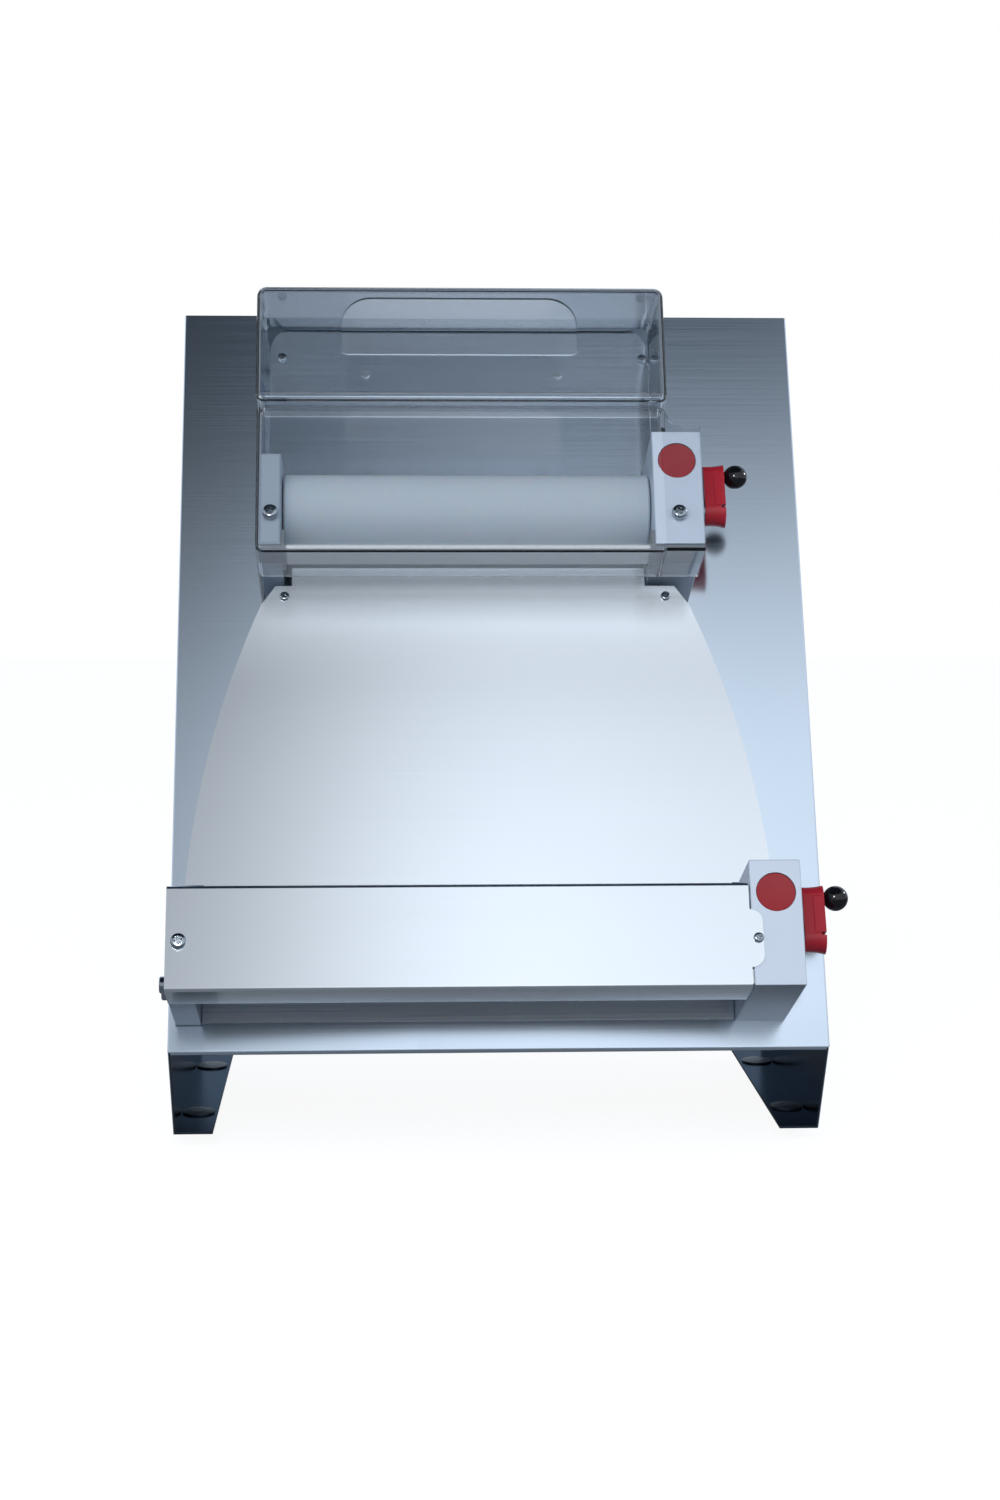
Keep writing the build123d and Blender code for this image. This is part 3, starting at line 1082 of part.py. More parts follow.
def small_screws():
    """Small screws of the feed plate, tray and cover tab, and along the back cover."""
    screw = cross_screw(SMALL_HEAD, SMALL_HEAD_HEIGHT, SMALL_SHANK, SMALL_LENGTH)
    screws = [on_slope(Pos(x, s, DECK_TOP) * screw) for x, s in feed_points() + tray_points()]
    tab = (LOWER.right + TAB_SCREW_INSET, LOWER.axis + TAB_SHIFT, BLOCK_HEIGHT + SHEET)
    screws.append(on_slope(Pos(*tab) * screw))
    for side in (-1, 1):
        for z in BACK_SCREW_HEIGHTS:
            place = Pos(side * (INSIDE - BACK_FLANGE / 2), BODY_BACK, z) * Rot(-90, 0, 0)
            screws.append(in_body(place * screw))
    return group(screws)


def block_bolts():
    """Socket-head bolts through the left blocks into the scrapers."""
    bolts = []
    for stage in STAGES:
        face = bolt_seat(stage)
        length = stage.left + SCRAPER_EAR - face
        bolt = turned([(face - BOLT_HEAD_HEIGHT, 0), (face - BOLT_HEAD_HEIGHT, BOLT_HEAD / 2 - 0.8),
                       (face - BOLT_HEAD_HEIGHT + 0.8, BOLT_HEAD / 2), (face, BOLT_HEAD / 2),
                       (face, BOLT_SHANK / 2), (face + length, BOLT_SHANK / 2), (face + length, 0)])
        socket = Plane.YZ.offset(face - BOLT_HEAD_HEIGHT) * RegularPolygon(BOLT_SOCKET / 2, 6)
        bolt -= extrude(socket, amount=BOLT_SOCKET_DEPTH, dir=(1, 0, 0))
        bolts += [on_slope(Pos(0, s, h) * bolt) for s, h in bolt_points(stage)]
    return group(bolts)


# Drive


def motor_point():
    """Motor axis as (y behind the lip, z above the table)."""
    return (MOTOR_BACK, LIP_HEIGHT + 2 * SHEET + MOTOR_RISE)


def gearmotor():
    """Ribbed motor with its gearbox, feet and terminal box."""
    y, z = motor_point()
    floor = LIP_HEIGHT + 2 * SHEET
    box_left = GEARBOX_FACE - GEARBOX_LENGTH
    left = box_left - MOTOR_LENGTH
    barrel = bar(left, box_left, y, z, MOTOR_DIAMETER - 2 * MOTOR_RIB_HEIGHT)
    for i in range(MOTOR_RIBS):
        rib = slab(left + 2 * MOTOR_RIB_HEIGHT, box_left, -MOTOR_RIB_WIDTH / 2, MOTOR_RIB_WIDTH / 2,
                   MOTOR_DIAMETER / 2 - 2 * MOTOR_RIB_HEIGHT, MOTOR_DIAMETER / 2)
        barrel += Pos(0, y, z) * Rot(360 * i / MOTOR_RIBS, 0, 0) * rib
    half = GEARBOX_SIZE / 2
    gearbox = slab(box_left, GEARBOX_FACE, y - half, y + half, z - half, z + half)
    gearbox = fillet(gearbox.edges().filter_by(Axis.X), 3 * MOTOR_RIB_WIDTH)
    foot_left = GEARBOX_FACE - MOTOR_FOOT_LENGTH
    feet = slab(foot_left, GEARBOX_FACE, y - MOTOR_FOOT_WIDTH / 2, y + MOTOR_FOOT_WIDTH / 2,
                floor, floor + MOTOR_FOOT_HEIGHT)
    feet += slab(box_left, GEARBOX_FACE, y - half / 2, y + half / 2, floor, z)
    terminal = slab(left + half, left + half + TERMINAL_BOX, y - TERMINAL_BOX / 2, y + TERMINAL_BOX / 2,
                    z, z + MOTOR_DIAMETER / 2 + TERMINAL_HEIGHT)
    return in_body(barrel + gearbox + feet + terminal)


def motor_shaft():
    """Output shaft that carries both drive pulleys."""
    y, z = motor_point()
    x1 = LOWER.right + PULLEY_MIDDLE + PULLEY_WIDTH / 2 + SHAFT_END_GAP
    return in_body(bar(GEARBOX_FACE + OUTPUT_GAP, x1, y, z, SHAFT_DIAMETER))


def motor_pulleys():
    """Drive pulleys in line with the two rear pulleys."""
    y, z = motor_point()
    return group(in_body(Pos(0, y, z) * pulley(stage.right + PULLEY_MIDDLE)) for stage in STAGES)


def drive_belt(stage):
    """Flat belt from the motor pulley to the rear pulley."""
    motor = slope_point(*motor_point())
    ds, dh = motor[0] - stage.axis, motor[1] - REAR_AXIS_HEIGHT
    span = hypot(ds, dh)
    inside = PULLEY_GROOVE + BELT_CLEARANCE
    outside = inside + BELT_THICKNESS
    loop = SlotCenterToCenter(span, 2 * outside) - SlotCenterToCenter(span, 2 * inside)
    turn = degrees(atan2(dh, ds))
    centre = (stage.axis + ds / 2, REAR_AXIS_HEIGHT + dh / 2)
    x0 = stage.right + PULLEY_MIDDLE - BELT_WIDTH / 2
    return on_slope(across(Pos(*centre) * Rot(0, 0, turn) * loop, x0, x0 + BELT_WIDTH))


# Buttons and gland


def button_box():
    """Switch box inside the right wall, with a collar for each button."""
    z_middle = LIP_HEIGHT + BUTTON_RISE
    wide, tall = BUTTON_BOX_WIDTH / 2, BUTTON_BOX_HEIGHT / 2
    box = slab(INSIDE - BUTTON_BOX_DEPTH, INSIDE, BUTTON_BACK - wide, BUTTON_BACK + wide,
               z_middle - tall, z_middle + tall)
    box = fillet(box.edges().filter_by(Axis.X), 2 * SHEET)
    for z in BUTTON_HEIGHTS:
        box += bar(INSIDE - SHEET, HALF_WIDTH + COLLAR_HEIGHT, BUTTON_BACK, z, NECK_DIAMETER)
    for z in BUTTON_HEIGHTS:
        box -= bar(HALF_WIDTH - BUTTON_LENGTH - BUTTON_TRAVEL, HALF_WIDTH + 2 * COLLAR_HEIGHT, BUTTON_BACK, z,
                   BUTTON_DIAMETER + 2 * BUTTON_CLEARANCE)
    return in_body(box)


def push_button(z, proud):
    """Button cap with a softened face."""
    out = HALF_WIDTH + COLLAR_HEIGHT + proud
    radius = BUTTON_DIAMETER / 2
    x0 = HALF_WIDTH - BUTTON_LENGTH + BUTTON_CLEARANCE
    cap = turned([(x0, 0), (x0, radius), (out - SHEET, radius), (out, radius - SHEET), (out, 0)])
    return in_body(Pos(0, BUTTON_BACK, z) * cap)


def cable_gland():
    """Hexagonal gland in the back cover, with a dome nut and an empty bore."""
    z = LIP_HEIGHT + GLAND_RISE
    hexagon = extrude(RegularPolygon(GLAND_HEX / 2, 6, major_radius=False), amount=GLAND_HEX_HEIGHT)
    dome = Cone(GLAND_HEX / 2 - SHEET, GLAND_THREAD / 2, GLAND_DOME)
    dome = Pos(0, 0, GLAND_HEX_HEIGHT + GLAND_DOME / 2) * dome
    gland = hexagon + dome + post(0, 0, -GLAND_THREAD_LENGTH, 0, GLAND_THREAD)
    gland -= post(0, 0, -GLAND_THREAD_LENGTH - 1, GLAND_REACH + 1, GLAND_BORE)
    return in_body(Pos(GLAND_X, BODY_BACK, z) * Rot(-90, 0, 0) * gland)


def build():
    """Every node's name with its solid."""
    pieces = {
        "front_panel": front_panel(),
        "left_side_panel": side_panel(-1),
        "right_side_panel": side_panel(1),
        "base_pan": base_pan(),
        "back_cover": back_cover(),
        "cross_beams": cross_beams(),
        "rubber_feet": rubber_feet(),
        "foot_fixings": foot_fixings(),
        "feed_plate": feed_plate(),
        "tray_plate": tray_plate(),
        "stand_offs": stand_offs(),
        "hood": hood(),
        "lower_cover": lower_cover(),
        "casing_plugs": casing_plugs(),
        "rear_bushes": rear_bushes(),
        "pan_screws": pan_screws(),
        "small_screws": small_screws(),
        "block_bolts": block_bolts(),
        "gearmotor": gearmotor(),
        "motor_shaft": motor_shaft(),
        "motor_pulleys": motor_pulleys(),
        "drive_belts": group(drive_belt(stage) for stage in STAGES),
        "button_box": button_box(),
        "start_button": push_button(BUTTON_HEIGHTS[1], START_PROUD),
        "stop_button": push_button(BUTTON_HEIGHTS[0], STOP_PROUD),
        "cable_gland": cable_gland(),
    }
    makers = (left_block, right_casing, scrapers, rear_roller, rear_shaft, rear_gear, rear_pulley,
              left_slider, front_axle, right_yoke, front_roller, front_gear, front_bushes,
              eccentric_shaft, lever, index_pin, ball_knob)
    for stage in STAGES:
        for maker in makers:
            pieces[f"{stage.name}_{maker.__name__}"] = maker(stage)
    return pieces


os.makedirs("parts", exist_ok=True)
for node, solid in build().items():
    export_step(solid, f"parts/{node}.step")
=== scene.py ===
# %% [markdown]
# # A two-stage dough roller, dressed for its picture
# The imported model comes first. It is the fixed frame: every plate, roller, gear and screw already
# stands where it belongs, in metres, with its front towards -Y. This lesson gives those pieces the
# finishes of the real machine and models the small moulded and turned parts that need a softer form.

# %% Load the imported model
from math import cos, pi, radians, sin

import bmesh
import bpy
from mathutils import Matrix, Vector


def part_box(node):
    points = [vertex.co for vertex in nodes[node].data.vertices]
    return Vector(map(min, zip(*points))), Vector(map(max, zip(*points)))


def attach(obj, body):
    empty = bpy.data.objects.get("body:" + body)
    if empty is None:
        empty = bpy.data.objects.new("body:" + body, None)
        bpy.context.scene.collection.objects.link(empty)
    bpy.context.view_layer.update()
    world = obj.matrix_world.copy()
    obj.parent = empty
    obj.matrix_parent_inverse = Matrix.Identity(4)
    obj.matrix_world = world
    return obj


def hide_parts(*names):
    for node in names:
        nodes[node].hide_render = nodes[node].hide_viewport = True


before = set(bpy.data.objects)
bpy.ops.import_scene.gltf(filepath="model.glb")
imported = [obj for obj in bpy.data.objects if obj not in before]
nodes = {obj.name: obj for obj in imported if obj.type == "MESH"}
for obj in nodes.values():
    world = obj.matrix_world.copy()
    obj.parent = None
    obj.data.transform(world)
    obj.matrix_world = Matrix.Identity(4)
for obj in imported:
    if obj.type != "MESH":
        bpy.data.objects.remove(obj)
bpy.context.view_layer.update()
scene = bpy.context.scene
MM = 0.001

# %% [markdown]
# ## The camera
# The picture was taken from a little to the left of the middle, about two metres away and below the
# top of the machine. A long lens keeps the upright edges almost parallel. The camera's place and angles
# were fitted to points of the machine in the picture. Its place is in mm and its angles in radians.

# %% Camera
CAMERA_PLACE = (-98.08, -2158.74, 537.1)
CAMERA_YAW, CAMERA_PITCH, CAMERA_ROLL = 0.0459, -0.1011, 0.0012
CAMERA_LENS, CAMERA_SENSOR = 61.862, 36.0

bpy.ops.object.select_all(action="DESELECT")
bpy.ops.object.camera_add()
camera = bpy.context.object
camera.name = "picture_camera"
camera.matrix_world = (Matrix.Translation(Vector(CAMERA_PLACE) * MM)
                       @ Matrix.Rotation(-CAMERA_YAW, 4, "Z")
                       @ Matrix.Rotation(pi / 2 + CAMERA_PITCH, 4, "X")
                       @ Matrix.Rotation(CAMERA_ROLL, 4, "Z"))
camera.data.sensor_fit = "VERTICAL"
camera.data.sensor_height = CAMERA_SENSOR
camera.data.lens = CAMERA_LENS
scene.camera = camera
scene.view_settings.view_transform = "Standard"
print("camera at", [round(v, 3) for v in camera.location])

# %% [markdown]
# ## Small helpers
# Colours are written as the hex values an artist would pick, and the renderer wants linear light, so
# one function converts them. Another adds a node to a tree, sets what is given as a plain value and
# links what is given as a socket. Three more name the nodes that almost every finish needs: a sum, a
# change of range and a blend of two colours. With these each finish below stays short.

# %% Helpers for colours and nodes
def linear(hex_colour):
    """An sRGB hex colour as linear light."""
    parts = [int(hex_colour[i:i + 2], 16) / 255 for i in (1, 3, 5)]
    return [v / 12.92 if v <= 0.04045 else ((v + 0.055) / 1.055) ** 2.4 for v in parts] + [1.0]


def add(tree, kind, inputs=None, **settings):
    """Add a node, set its properties and inputs, and link the inputs that are sockets."""
    node = tree.nodes.new(kind)
    for name, value in settings.items():
        setattr(node, name, value)
    for name, value in (inputs or {}).items():
        if isinstance(value, bpy.types.NodeSocket):
            tree.links.new(value, node.inputs[name])
        else:
            node.inputs[name].default_value = value
    return node


def reckon(tree, operation, *values, **settings):
    """The result of a sum on sockets or plain values."""
    return add(tree, "ShaderNodeMath", dict(enumerate(values)), operation=operation, **settings).outputs[0]


def remap(tree, value, begin, end, low=0.0, high=1.0, **settings):
    """A value moved from one range to another, and held at its ends."""
    ranges = {"Value": value, "From Min": begin, "From Max": end, "To Min": low, "To Max": high}
    return add(tree, "ShaderNodeMapRange", ranges, **settings).outputs["Result"]


def blend(tree, share, first, second, **settings):
    """A colour between two others."""
    colours = {0: share, 6: first, 7: second}
    return add(tree, "ShaderNodeMix", colours, data_type="RGBA", **settings).outputs[2]


def start_material(name):
    """A material with an empty tree."""
    material = bpy.data.materials.new(name)
    material.use_nodes = True
    material.node_tree.nodes.clear()
    return material, material.node_tree


def dress(material, *names):
    """Give a finish to CAD nodes by name."""
    for name in names:
        nodes[name].data.materials.clear()
        nodes[name].data.materials.append(material)


print("a middle grey is", round(linear("#808080")[0], 3), "in linear light")

# %% [markdown]
# ## The light
# The machine stood in a white studio with a dark ceiling. Bright walls make the lower part of the
# steel panel pale, and the ceiling makes its upper part dark. So the world is not one colour: it fades
# with the height of the direction, a little sooner on the left, and the front wall is brightest a
# little right of the middle, as its pairs of a direction and a level say. The side and back walls are a
# pale blue grey, and what shows through the clear hood is a darker grey backdrop. The camera itself
# sees plain white.

# %% World
WHITE = (1, 1, 1, 1)
CEILING, WALL, BACK_WALL, BACKDROP = "#28333f", "#f4f9ff", "#c0c8d0", "#787e86"
WALL_TOP, CEILING_LOW = 0.68, 0.795
CEILING_LEAN, LEAN_END = -0.12, 0.06
FRONT_WALL = ((-1.0, 0.8), (-0.5, 0.6), (-0.16, 0.35), (-0.07, 0.46), (-0.04, 0.66), (0.0, 0.93),
              (0.03, 1.06), (0.06, 1.07), (0.10, 0.98), (0.15, 0.9), (0.4, 0.75), (1.0, 0.8))
FRONT_END, SIDES_START = -0.45, -0.05
WALL_STRENGTH = 1.16

world = bpy.data.worlds.new("studio")
scene.world = world
world.use_nodes = True
sky = world.node_tree
sky.nodes.clear()
ways = add(sky, "ShaderNodeTexCoord")
way = add(sky, "ShaderNodeSeparateXYZ", {"Vector": ways.outputs["Generated"]})
left = reckon(sky, "MINIMUM", way.outputs["X"], LEAN_END)
lean = reckon(sky, "MULTIPLY_ADD", left, CEILING_LEAN, way.outputs["Z"])
rise = remap(sky, lean, WALL_TOP, CEILING_LOW, interpolation_type="SMOOTHSTEP")
tone = blend(sky, rise, linear(WALL), linear(CEILING))
glow = add(sky, "ShaderNodeValToRGB", {"Fac": remap(sky, way.outputs["X"], -1.0, 1.0)})
stops = glow.color_ramp.elements
for i, (x, level) in enumerate(FRONT_WALL):
    # A new ramp already has its first two stops.
    stop = stops[i] if i < 2 else stops.new((x + 1) / 2)
    stop.position = (x + 1) / 2
    stop.color = (level, level, level, 1)
behind = remap(sky, way.outputs["Y"], FRONT_END, SIDES_START)
rays = add(sky, "ShaderNodeLightPath")
back = blend(sky, rays.outputs["Is Transmission Ray"], linear(BACK_WALL), linear(BACKDROP))
walls = blend(sky, behind, glow.outputs["Color"], back)
studio = blend(sky, 1.0, tone, walls, blend_type="MULTIPLY")
white = add(sky, "ShaderNodeBackground", {"Color": WHITE, "Strength": 1.0})
light = add(sky, "ShaderNodeBackground", {"Color": studio, "Strength": WALL_STRENGTH})
either = add(sky, "ShaderNodeMixShader", {0: rays.outputs["Is Camera Ray"], 1: light.outputs[0],
                                          2: white.outputs[0]})
add(sky, "ShaderNodeOutputWorld", {"Surface": either.outputs[0]})
print("world fades from wall to ceiling between", WALL_TOP, "and", CEILING_LOW)

# %% [markdown]
# A large soft lamp high in front lifts the matt pieces to a plain level and gives the machine its
# shadow. It is kept out of mirror reflections, because the steel already mirrors the studio walls.
# Two small lamps, one above the camera and one far to the right, give the spots of light on the ball
# knobs and screw heads. Their light is linked to those pieces alone, further down. Each lamp has its
# place and its size in metres, its power in watts and the pieces that it is linked to.

# %% Lamps
sparks = bpy.data.collections.new("lit by the small lamps")
LAMPS = (("soft_lamp", (-0.5, -2.4, 2.0), 2.2, 40.0, None),
         ("front_spark", (-0.45, -2.0, 1.2), 0.5, 16.0, sparks),
         ("side_spark", (2.3, 0.7, 1.35), 0.4, 12.0, sparks))
TARGET = Vector((0, 0, 0.35))

for name, spot, size, power, linked in LAMPS:
    bpy.ops.object.light_add(type="AREA", location=spot)
    lamp = bpy.context.object
    lamp.name = name
    lamp.data.shape = "DISK"
    lamp.data.size = size
    lamp.data.energy = power
    lamp.rotation_euler = (TARGET - Vector(spot)).to_track_quat("-Z", "Y").to_euler()
    lamp.visible_glossy = linked is not None
    lamp.visible_transmission = False
    lamp.light_linking.receiver_collection = linked
print("lamps:", [lamp[0] for lamp in LAMPS])

# %% [markdown]
# ## The floor
# A wide white sheet. Most of what the camera sees of it is its own glow, which keeps it white, and the
# rest is lit, which keeps the shadow under the machine. The steel mirrors a little of that glow.

# %% Floor
FLOOR_SIZE, PAPER = 12.0, "#757b83"
SEEN_GLOW, MIRRORED_GLOW = 0.92, 0.06

bpy.ops.mesh.primitive_plane_add(size=FLOOR_SIZE, location=(0, 0, 0))
floor = bpy.context.object
floor.name = "floor"
sheet, tree = start_material("white paper floor")
rays = add(tree, "ShaderNodeLightPath")
seen = reckon(tree, "MAXIMUM", rays.outputs["Is Camera Ray"], rays.outputs["Is Transmission Ray"])
full = reckon(tree, "MULTIPLY", seen, SEEN_GLOW)
shine = reckon(tree, "MULTIPLY_ADD", rays.outputs["Is Glossy Ray"], MIRRORED_GLOW, full)
paper = add(tree, "ShaderNodeBsdfDiffuse", {"Color": linear(PAPER)})
glow = add(tree, "ShaderNodeEmission", {"Color": WHITE, "Strength": shine})
lit = add(tree, "ShaderNodeAddShader", {0: paper.outputs[0], 1: glow.outputs[0]})
add(tree, "ShaderNodeOutputMaterial", {"Surface": lit.outputs[0]})
floor.data.materials.append(sheet)
print("floor is", floor.dimensions[0], "m wide")

# %% [markdown]
# ## Brushed stainless steel
# The body, the plates and the cover are rolled stainless sheet, brushed with a belt. A belt leaves
# hairlines that all run one way, here across the machine. Each hairline spreads a reflection at
# right angles to itself, so the shader is anisotropic, and a noise that is stretched a few hundred
# times along X breaks up the tone and the roughness. Real hairlines are about 0.1 mm wide: they are
# drawn at 1.2 mm, because finer ones would vanish at this picture size. The finishes tell faces apart
# by where they look and places by how far they are up the slope or from the middle, so each of these
# has a helper.

# %% Helpers for the slope and its hairlines
SLOPE = radians(65)
LIP = Vector((-4.5, -137.7408, 88.0)) * MM
UP_SLOPE = Vector((0.0, cos(SLOPE), sin(SLOPE)))
OUT_OF_SLOPE = Vector((0.0, -sin(SLOPE), cos(SLOPE)))
HAIRLINE, HAIRLINE_LENGTH, BRUSH_DEPTH = 1.2 * MM, 260 * MM, 0.05 * MM
PAINTED_SHADE_BEGIN, PAINTED_SHADE_FULL = -0.5, -0.9


def dot(tree, vector, direction):
    """How far a vector socket reaches along a direction."""
    pair = {0: vector, 1: direction}
    return add(tree, "ShaderNodeVectorMath", pair, operation="DOT_PRODUCT").outputs["Value"]


def off_middle(tree, spots, middle):
    """The distance across the machine from a middle."""
    axes = add(tree, "ShaderNodeSeparateXYZ", {"Vector": spots.outputs["Object"]})
    return reckon(tree, "ABSOLUTE", reckon(tree, "SUBTRACT", axes.outputs["X"], middle))


def hairlines(tree, spots, scale, turn=(0, 0, 0)):
    """A noise that is drawn out into hairlines."""
    drawn = add(tree, "ShaderNodeMapping", {"Vector": spots.outputs["Object"], "Rotation": turn,
                                            "Scale": scale}, vector_type="TEXTURE")
    noise = add(tree, "ShaderNodeTexNoise", {"Vector": drawn.outputs[0], "Scale": 1.0, "Detail": 3.0,
                                             "Roughness": 0.6})
    return noise.outputs["Fac"]


def paint_shade_below(tree, spots, colour, tone):
    """The colour with a painted shade tone, where one is given, on the faces that look down the slope."""
    if not tone:
        return colour
    below = remap(tree, dot(tree, spots.outputs["Normal"], UP_SLOPE), PAINTED_SHADE_BEGIN, PAINTED_SHADE_FULL)
    return blend(tree, below, colour, linear(tone))


print("hairlines are", round(HAIRLINE_LENGTH / HAIRLINE), "times as long as they are wide")

# %% [markdown]
# Hands and dough rub the lower edge of the panel and the upper end of the tray, so they grow duller
# there. Both ends are also bent a little, which a broad, shallow bump shows: it turns them towards the
# bright wall. The heights of the wear and the bends are in mm up the slope from the panel's lip.

# %% Brushed steel
LIP_CLIMB = LIP.dot(UP_SLOPE)
CLOUD, CLOUD_SHARE = 120 * MM, 0.35
TONE_LOW, TONE_HIGH, GRAIN_LOW, GRAIN_HIGH = 0.35, 1.0, 0.25, 0.75
BEND_MIDDLE, BEND_FULL, BEND_LEAST = -10 * MM, 60 * MM, 230 * MM
BACK_FULL, BACK_BEGIN, BACK_METAL = -0.8, -0.4, 0.25


def brushed_steel(name, dark, pale, smooth, rough, spread, rubbed=0.0, start=0, end=1, side=1,
                  bends=(), ends=1.0, dull_back=False, painted_shade=None):
    """Brushed sheet with hairlines along X, duller from one height on the slope to another.

    Each bend has the height where it begins, a power and a depth, and goes up or down the slope by
    its side. It keeps only a share of its depth towards the two ends of the sheet. A dull back is the
    mill's own matt face, left unbrushed on the side that looks at the panel."""
    material, tree = start_material(name)
    spots = add(tree, "ShaderNodeTexCoord")
    lines = hairlines(tree, spots, (HAIRLINE_LENGTH, HAIRLINE, HAIRLINE), (SLOPE, 0, 0))
    cloud = add(tree, "ShaderNodeTexNoise", {"Vector": spots.outputs["Object"], "Scale": 1 / CLOUD,
                                             "Detail": 2.0})
    mixed = reckon(tree, "MULTIPLY_ADD", cloud.outputs["Fac"], CLOUD_SHARE, lines)
    colour = blend(tree, remap(tree, mixed, TONE_LOW, TONE_HIGH), linear(dark), linear(pale))
    # Faces that look down the slope take a painted shade tone where one is given.
    colour = paint_shade_below(tree, spots, colour, painted_shade)
    grain = remap(tree, lines, GRAIN_LOW, GRAIN_HIGH, smooth, rough)
    climb = dot(tree, spots.outputs["Object"], UP_SLOPE)
    wear = remap(tree, climb, LIP_CLIMB + start * MM, LIP_CLIMB + end * MM, 0.0, rubbed,
                 interpolation_type="SMOOTHSTEP")
    bow = 0.0
    for begin, power, depth in bends:
        foot = LIP_CLIMB + begin * MM
        past = reckon(tree, "MULTIPLY_ADD", climb, side, -side * foot, use_clamp=True)
        bow = reckon(tree, "MULTIPLY_ADD", reckon(tree, "POWER", past, power), depth, bow)
    fade = remap(tree, off_middle(tree, spots, BEND_MIDDLE), BEND_FULL, BEND_LEAST, 1.0, ends)
    rolled = add(tree, "ShaderNodeBump", {"Strength": 1.0, "Distance": 1.0,
                                          "Height": reckon(tree, "MULTIPLY", bow, fade)}, invert=side < 0)
    relief = add(tree, "ShaderNodeBump", {"Strength": 0.05, "Distance": BRUSH_DEPTH, "Height": lines,
                                          "Normal": rolled.outputs[0]})
    way = add(tree, "ShaderNodeCombineXYZ", {"X": UP_SLOPE.x, "Y": UP_SLOPE.y, "Z": UP_SLOPE.z})
    metal = 1.0
    if dull_back:
        facing = dot(tree, spots.outputs["Normal"], OUT_OF_SLOPE)
        metal = remap(tree, facing, BACK_FULL, BACK_BEGIN, BACK_METAL, 1.0)
    steel = add(tree, "ShaderNodeBsdfPrincipled", {
        "Base Color": colour, "Metallic": metal, "Roughness": reckon(tree, "ADD", grain, wear),
        "Anisotropic": spread, "Tangent": way.outputs[0], "Normal": relief.outputs[0]})
    add(tree, "ShaderNodeOutputMaterial", {"Surface": steel.outputs[0]})
    return material


print("heights on the slope start at", round(LIP_CLIMB / MM, 1), "mm")

# %% [markdown]
# Four grades of this steel are in use. The panel, the pan and the back are bright and fine. The tray
# and the lower cover are satin, and the feed plate lies between the two. The lower scrapers are ground,
# so they are the roughest, and their faces that look down the slope carry a painted shade, a dark tone
# that stands in for the shadow in the gap under them. One function makes all four, so that they differ
# only by what is given here.

# %% Steel sheets
panel_steel = brushed_steel("brushed stainless panel", "#d6e5f4", "#dfedfc", smooth=0.115, rough=0.155,
                            spread=0.72, rubbed=0.08, start=45, end=8, side=-1,
                            bends=((45, 3, 34.0),), ends=0.3)
tray_steel = brushed_steel("satin stainless plate", "#ebf3fb", "#f2f8fe", smooth=0.15, rough=0.19,
                           spread=0.65, rubbed=0.08, start=290, end=375,
                           bends=((290, 3, 3.7), (378, 2, 5.0)), dull_back=True)
feed_steel = brushed_steel("brushed stainless feed plate", "#dae7f5", "#e3effd", smooth=0.13,
                           rough=0.165, spread=0.8, dull_back=True)
# The lower scrapers' faces that look down the slope get a painted shade, #20262c.
scraper_steel = brushed_steel("ground scraper steel", "#dde2e7", "#ebeff3", smooth=0.26, rough=0.32,
                              spread=0.6, painted_shade="#20262c")
dress(panel_steel, "front_panel", "base_pan", "back_cover")
dress(feed_steel, "feed_plate")
dress(tray_steel, "tray_plate")
dress(scraper_steel, "lower_scrapers")
print("brushed:", panel_steel.name, tray_steel.name, feed_steel.name, scraper_steel.name)

# %% [markdown]
# The side walls are the same steel. Their outer faces are brushed like the panel. Under the machine the
# inner faces of the legs mirror only the dark space between them, so there the steel carries a painted
# reflection of it: an almost black colour, with a painted dark tint at grazing angles. The place across
# the machine tells the two faces apart.

# %% Side walls
OUTER_FACE, WALL_SMOOTH, WALL_ROUGH = 264.4 * MM, 0.13, 0.26
OUTER_TONES, INNER_PAINTED_SHADE, INNER_PAINTED_RIM = ("#bcc7d2", "#eef4f9"), ("#4c5763", "#5b6672"), "#abb2ba"

wall_steel, tree = start_material("brushed stainless side wall")
spots = add(tree, "ShaderNodeTexCoord")
outer = reckon(tree, "GREATER_THAN", off_middle(tree, spots, LIP.x), OUTER_FACE)
lines = hairlines(tree, spots, (HAIRLINE, HAIRLINE_LENGTH, HAIRLINE))
bright = blend(tree, lines, *[linear(tone) for tone in OUTER_TONES])
shade = blend(tree, lines, *[linear(tone) for tone in INNER_PAINTED_SHADE])
relief = add(tree, "ShaderNodeBump", {"Strength": 0.12, "Distance": BRUSH_DEPTH, "Height": lines})
way = add(tree, "ShaderNodeCombineXYZ", {"Z": 1.0})
# Inside the legs the colour and the rim tint are a painted dark reflection of the space under the machine.
steel = add(tree, "ShaderNodeBsdfPrincipled", {
    "Base Color": blend(tree, outer, shade, bright), "Metallic": 1.0,
    "Roughness": remap(tree, lines, GRAIN_LOW, GRAIN_HIGH, WALL_SMOOTH, WALL_ROUGH),
    "Specular Tint": blend(tree, outer, linear(INNER_PAINTED_RIM), WHITE), "Anisotropic": 0.5,
    "Tangent": way.outputs[0], "Normal": relief.outputs[0]})
add(tree, "ShaderNodeOutputMaterial", {"Surface": steel.outputs[0]})
dress(wall_steel, "left_side_panel", "right_side_panel")
print("side walls:", wall_steel.name)

# %% [markdown]
# ## Cast and turned metal, plastics and rubber
# The rest of the machine is made of a few plain stock materials. They share one recipe: a base colour
# that drifts a little, a roughness that drifts with it and a fine relief, each at the real grain size.
# One function makes them all, because they differ only in its numbers: the two colours, the grain in
# mm, the least and the most roughness and the relief in mm. The casings' faces that look down the slope
# carry a painted shade, a darker tone that stands in for the shade under them.

# %% Stock finishes
SHEEN_LOW, SHEEN_HIGH = 0.3, 0.7


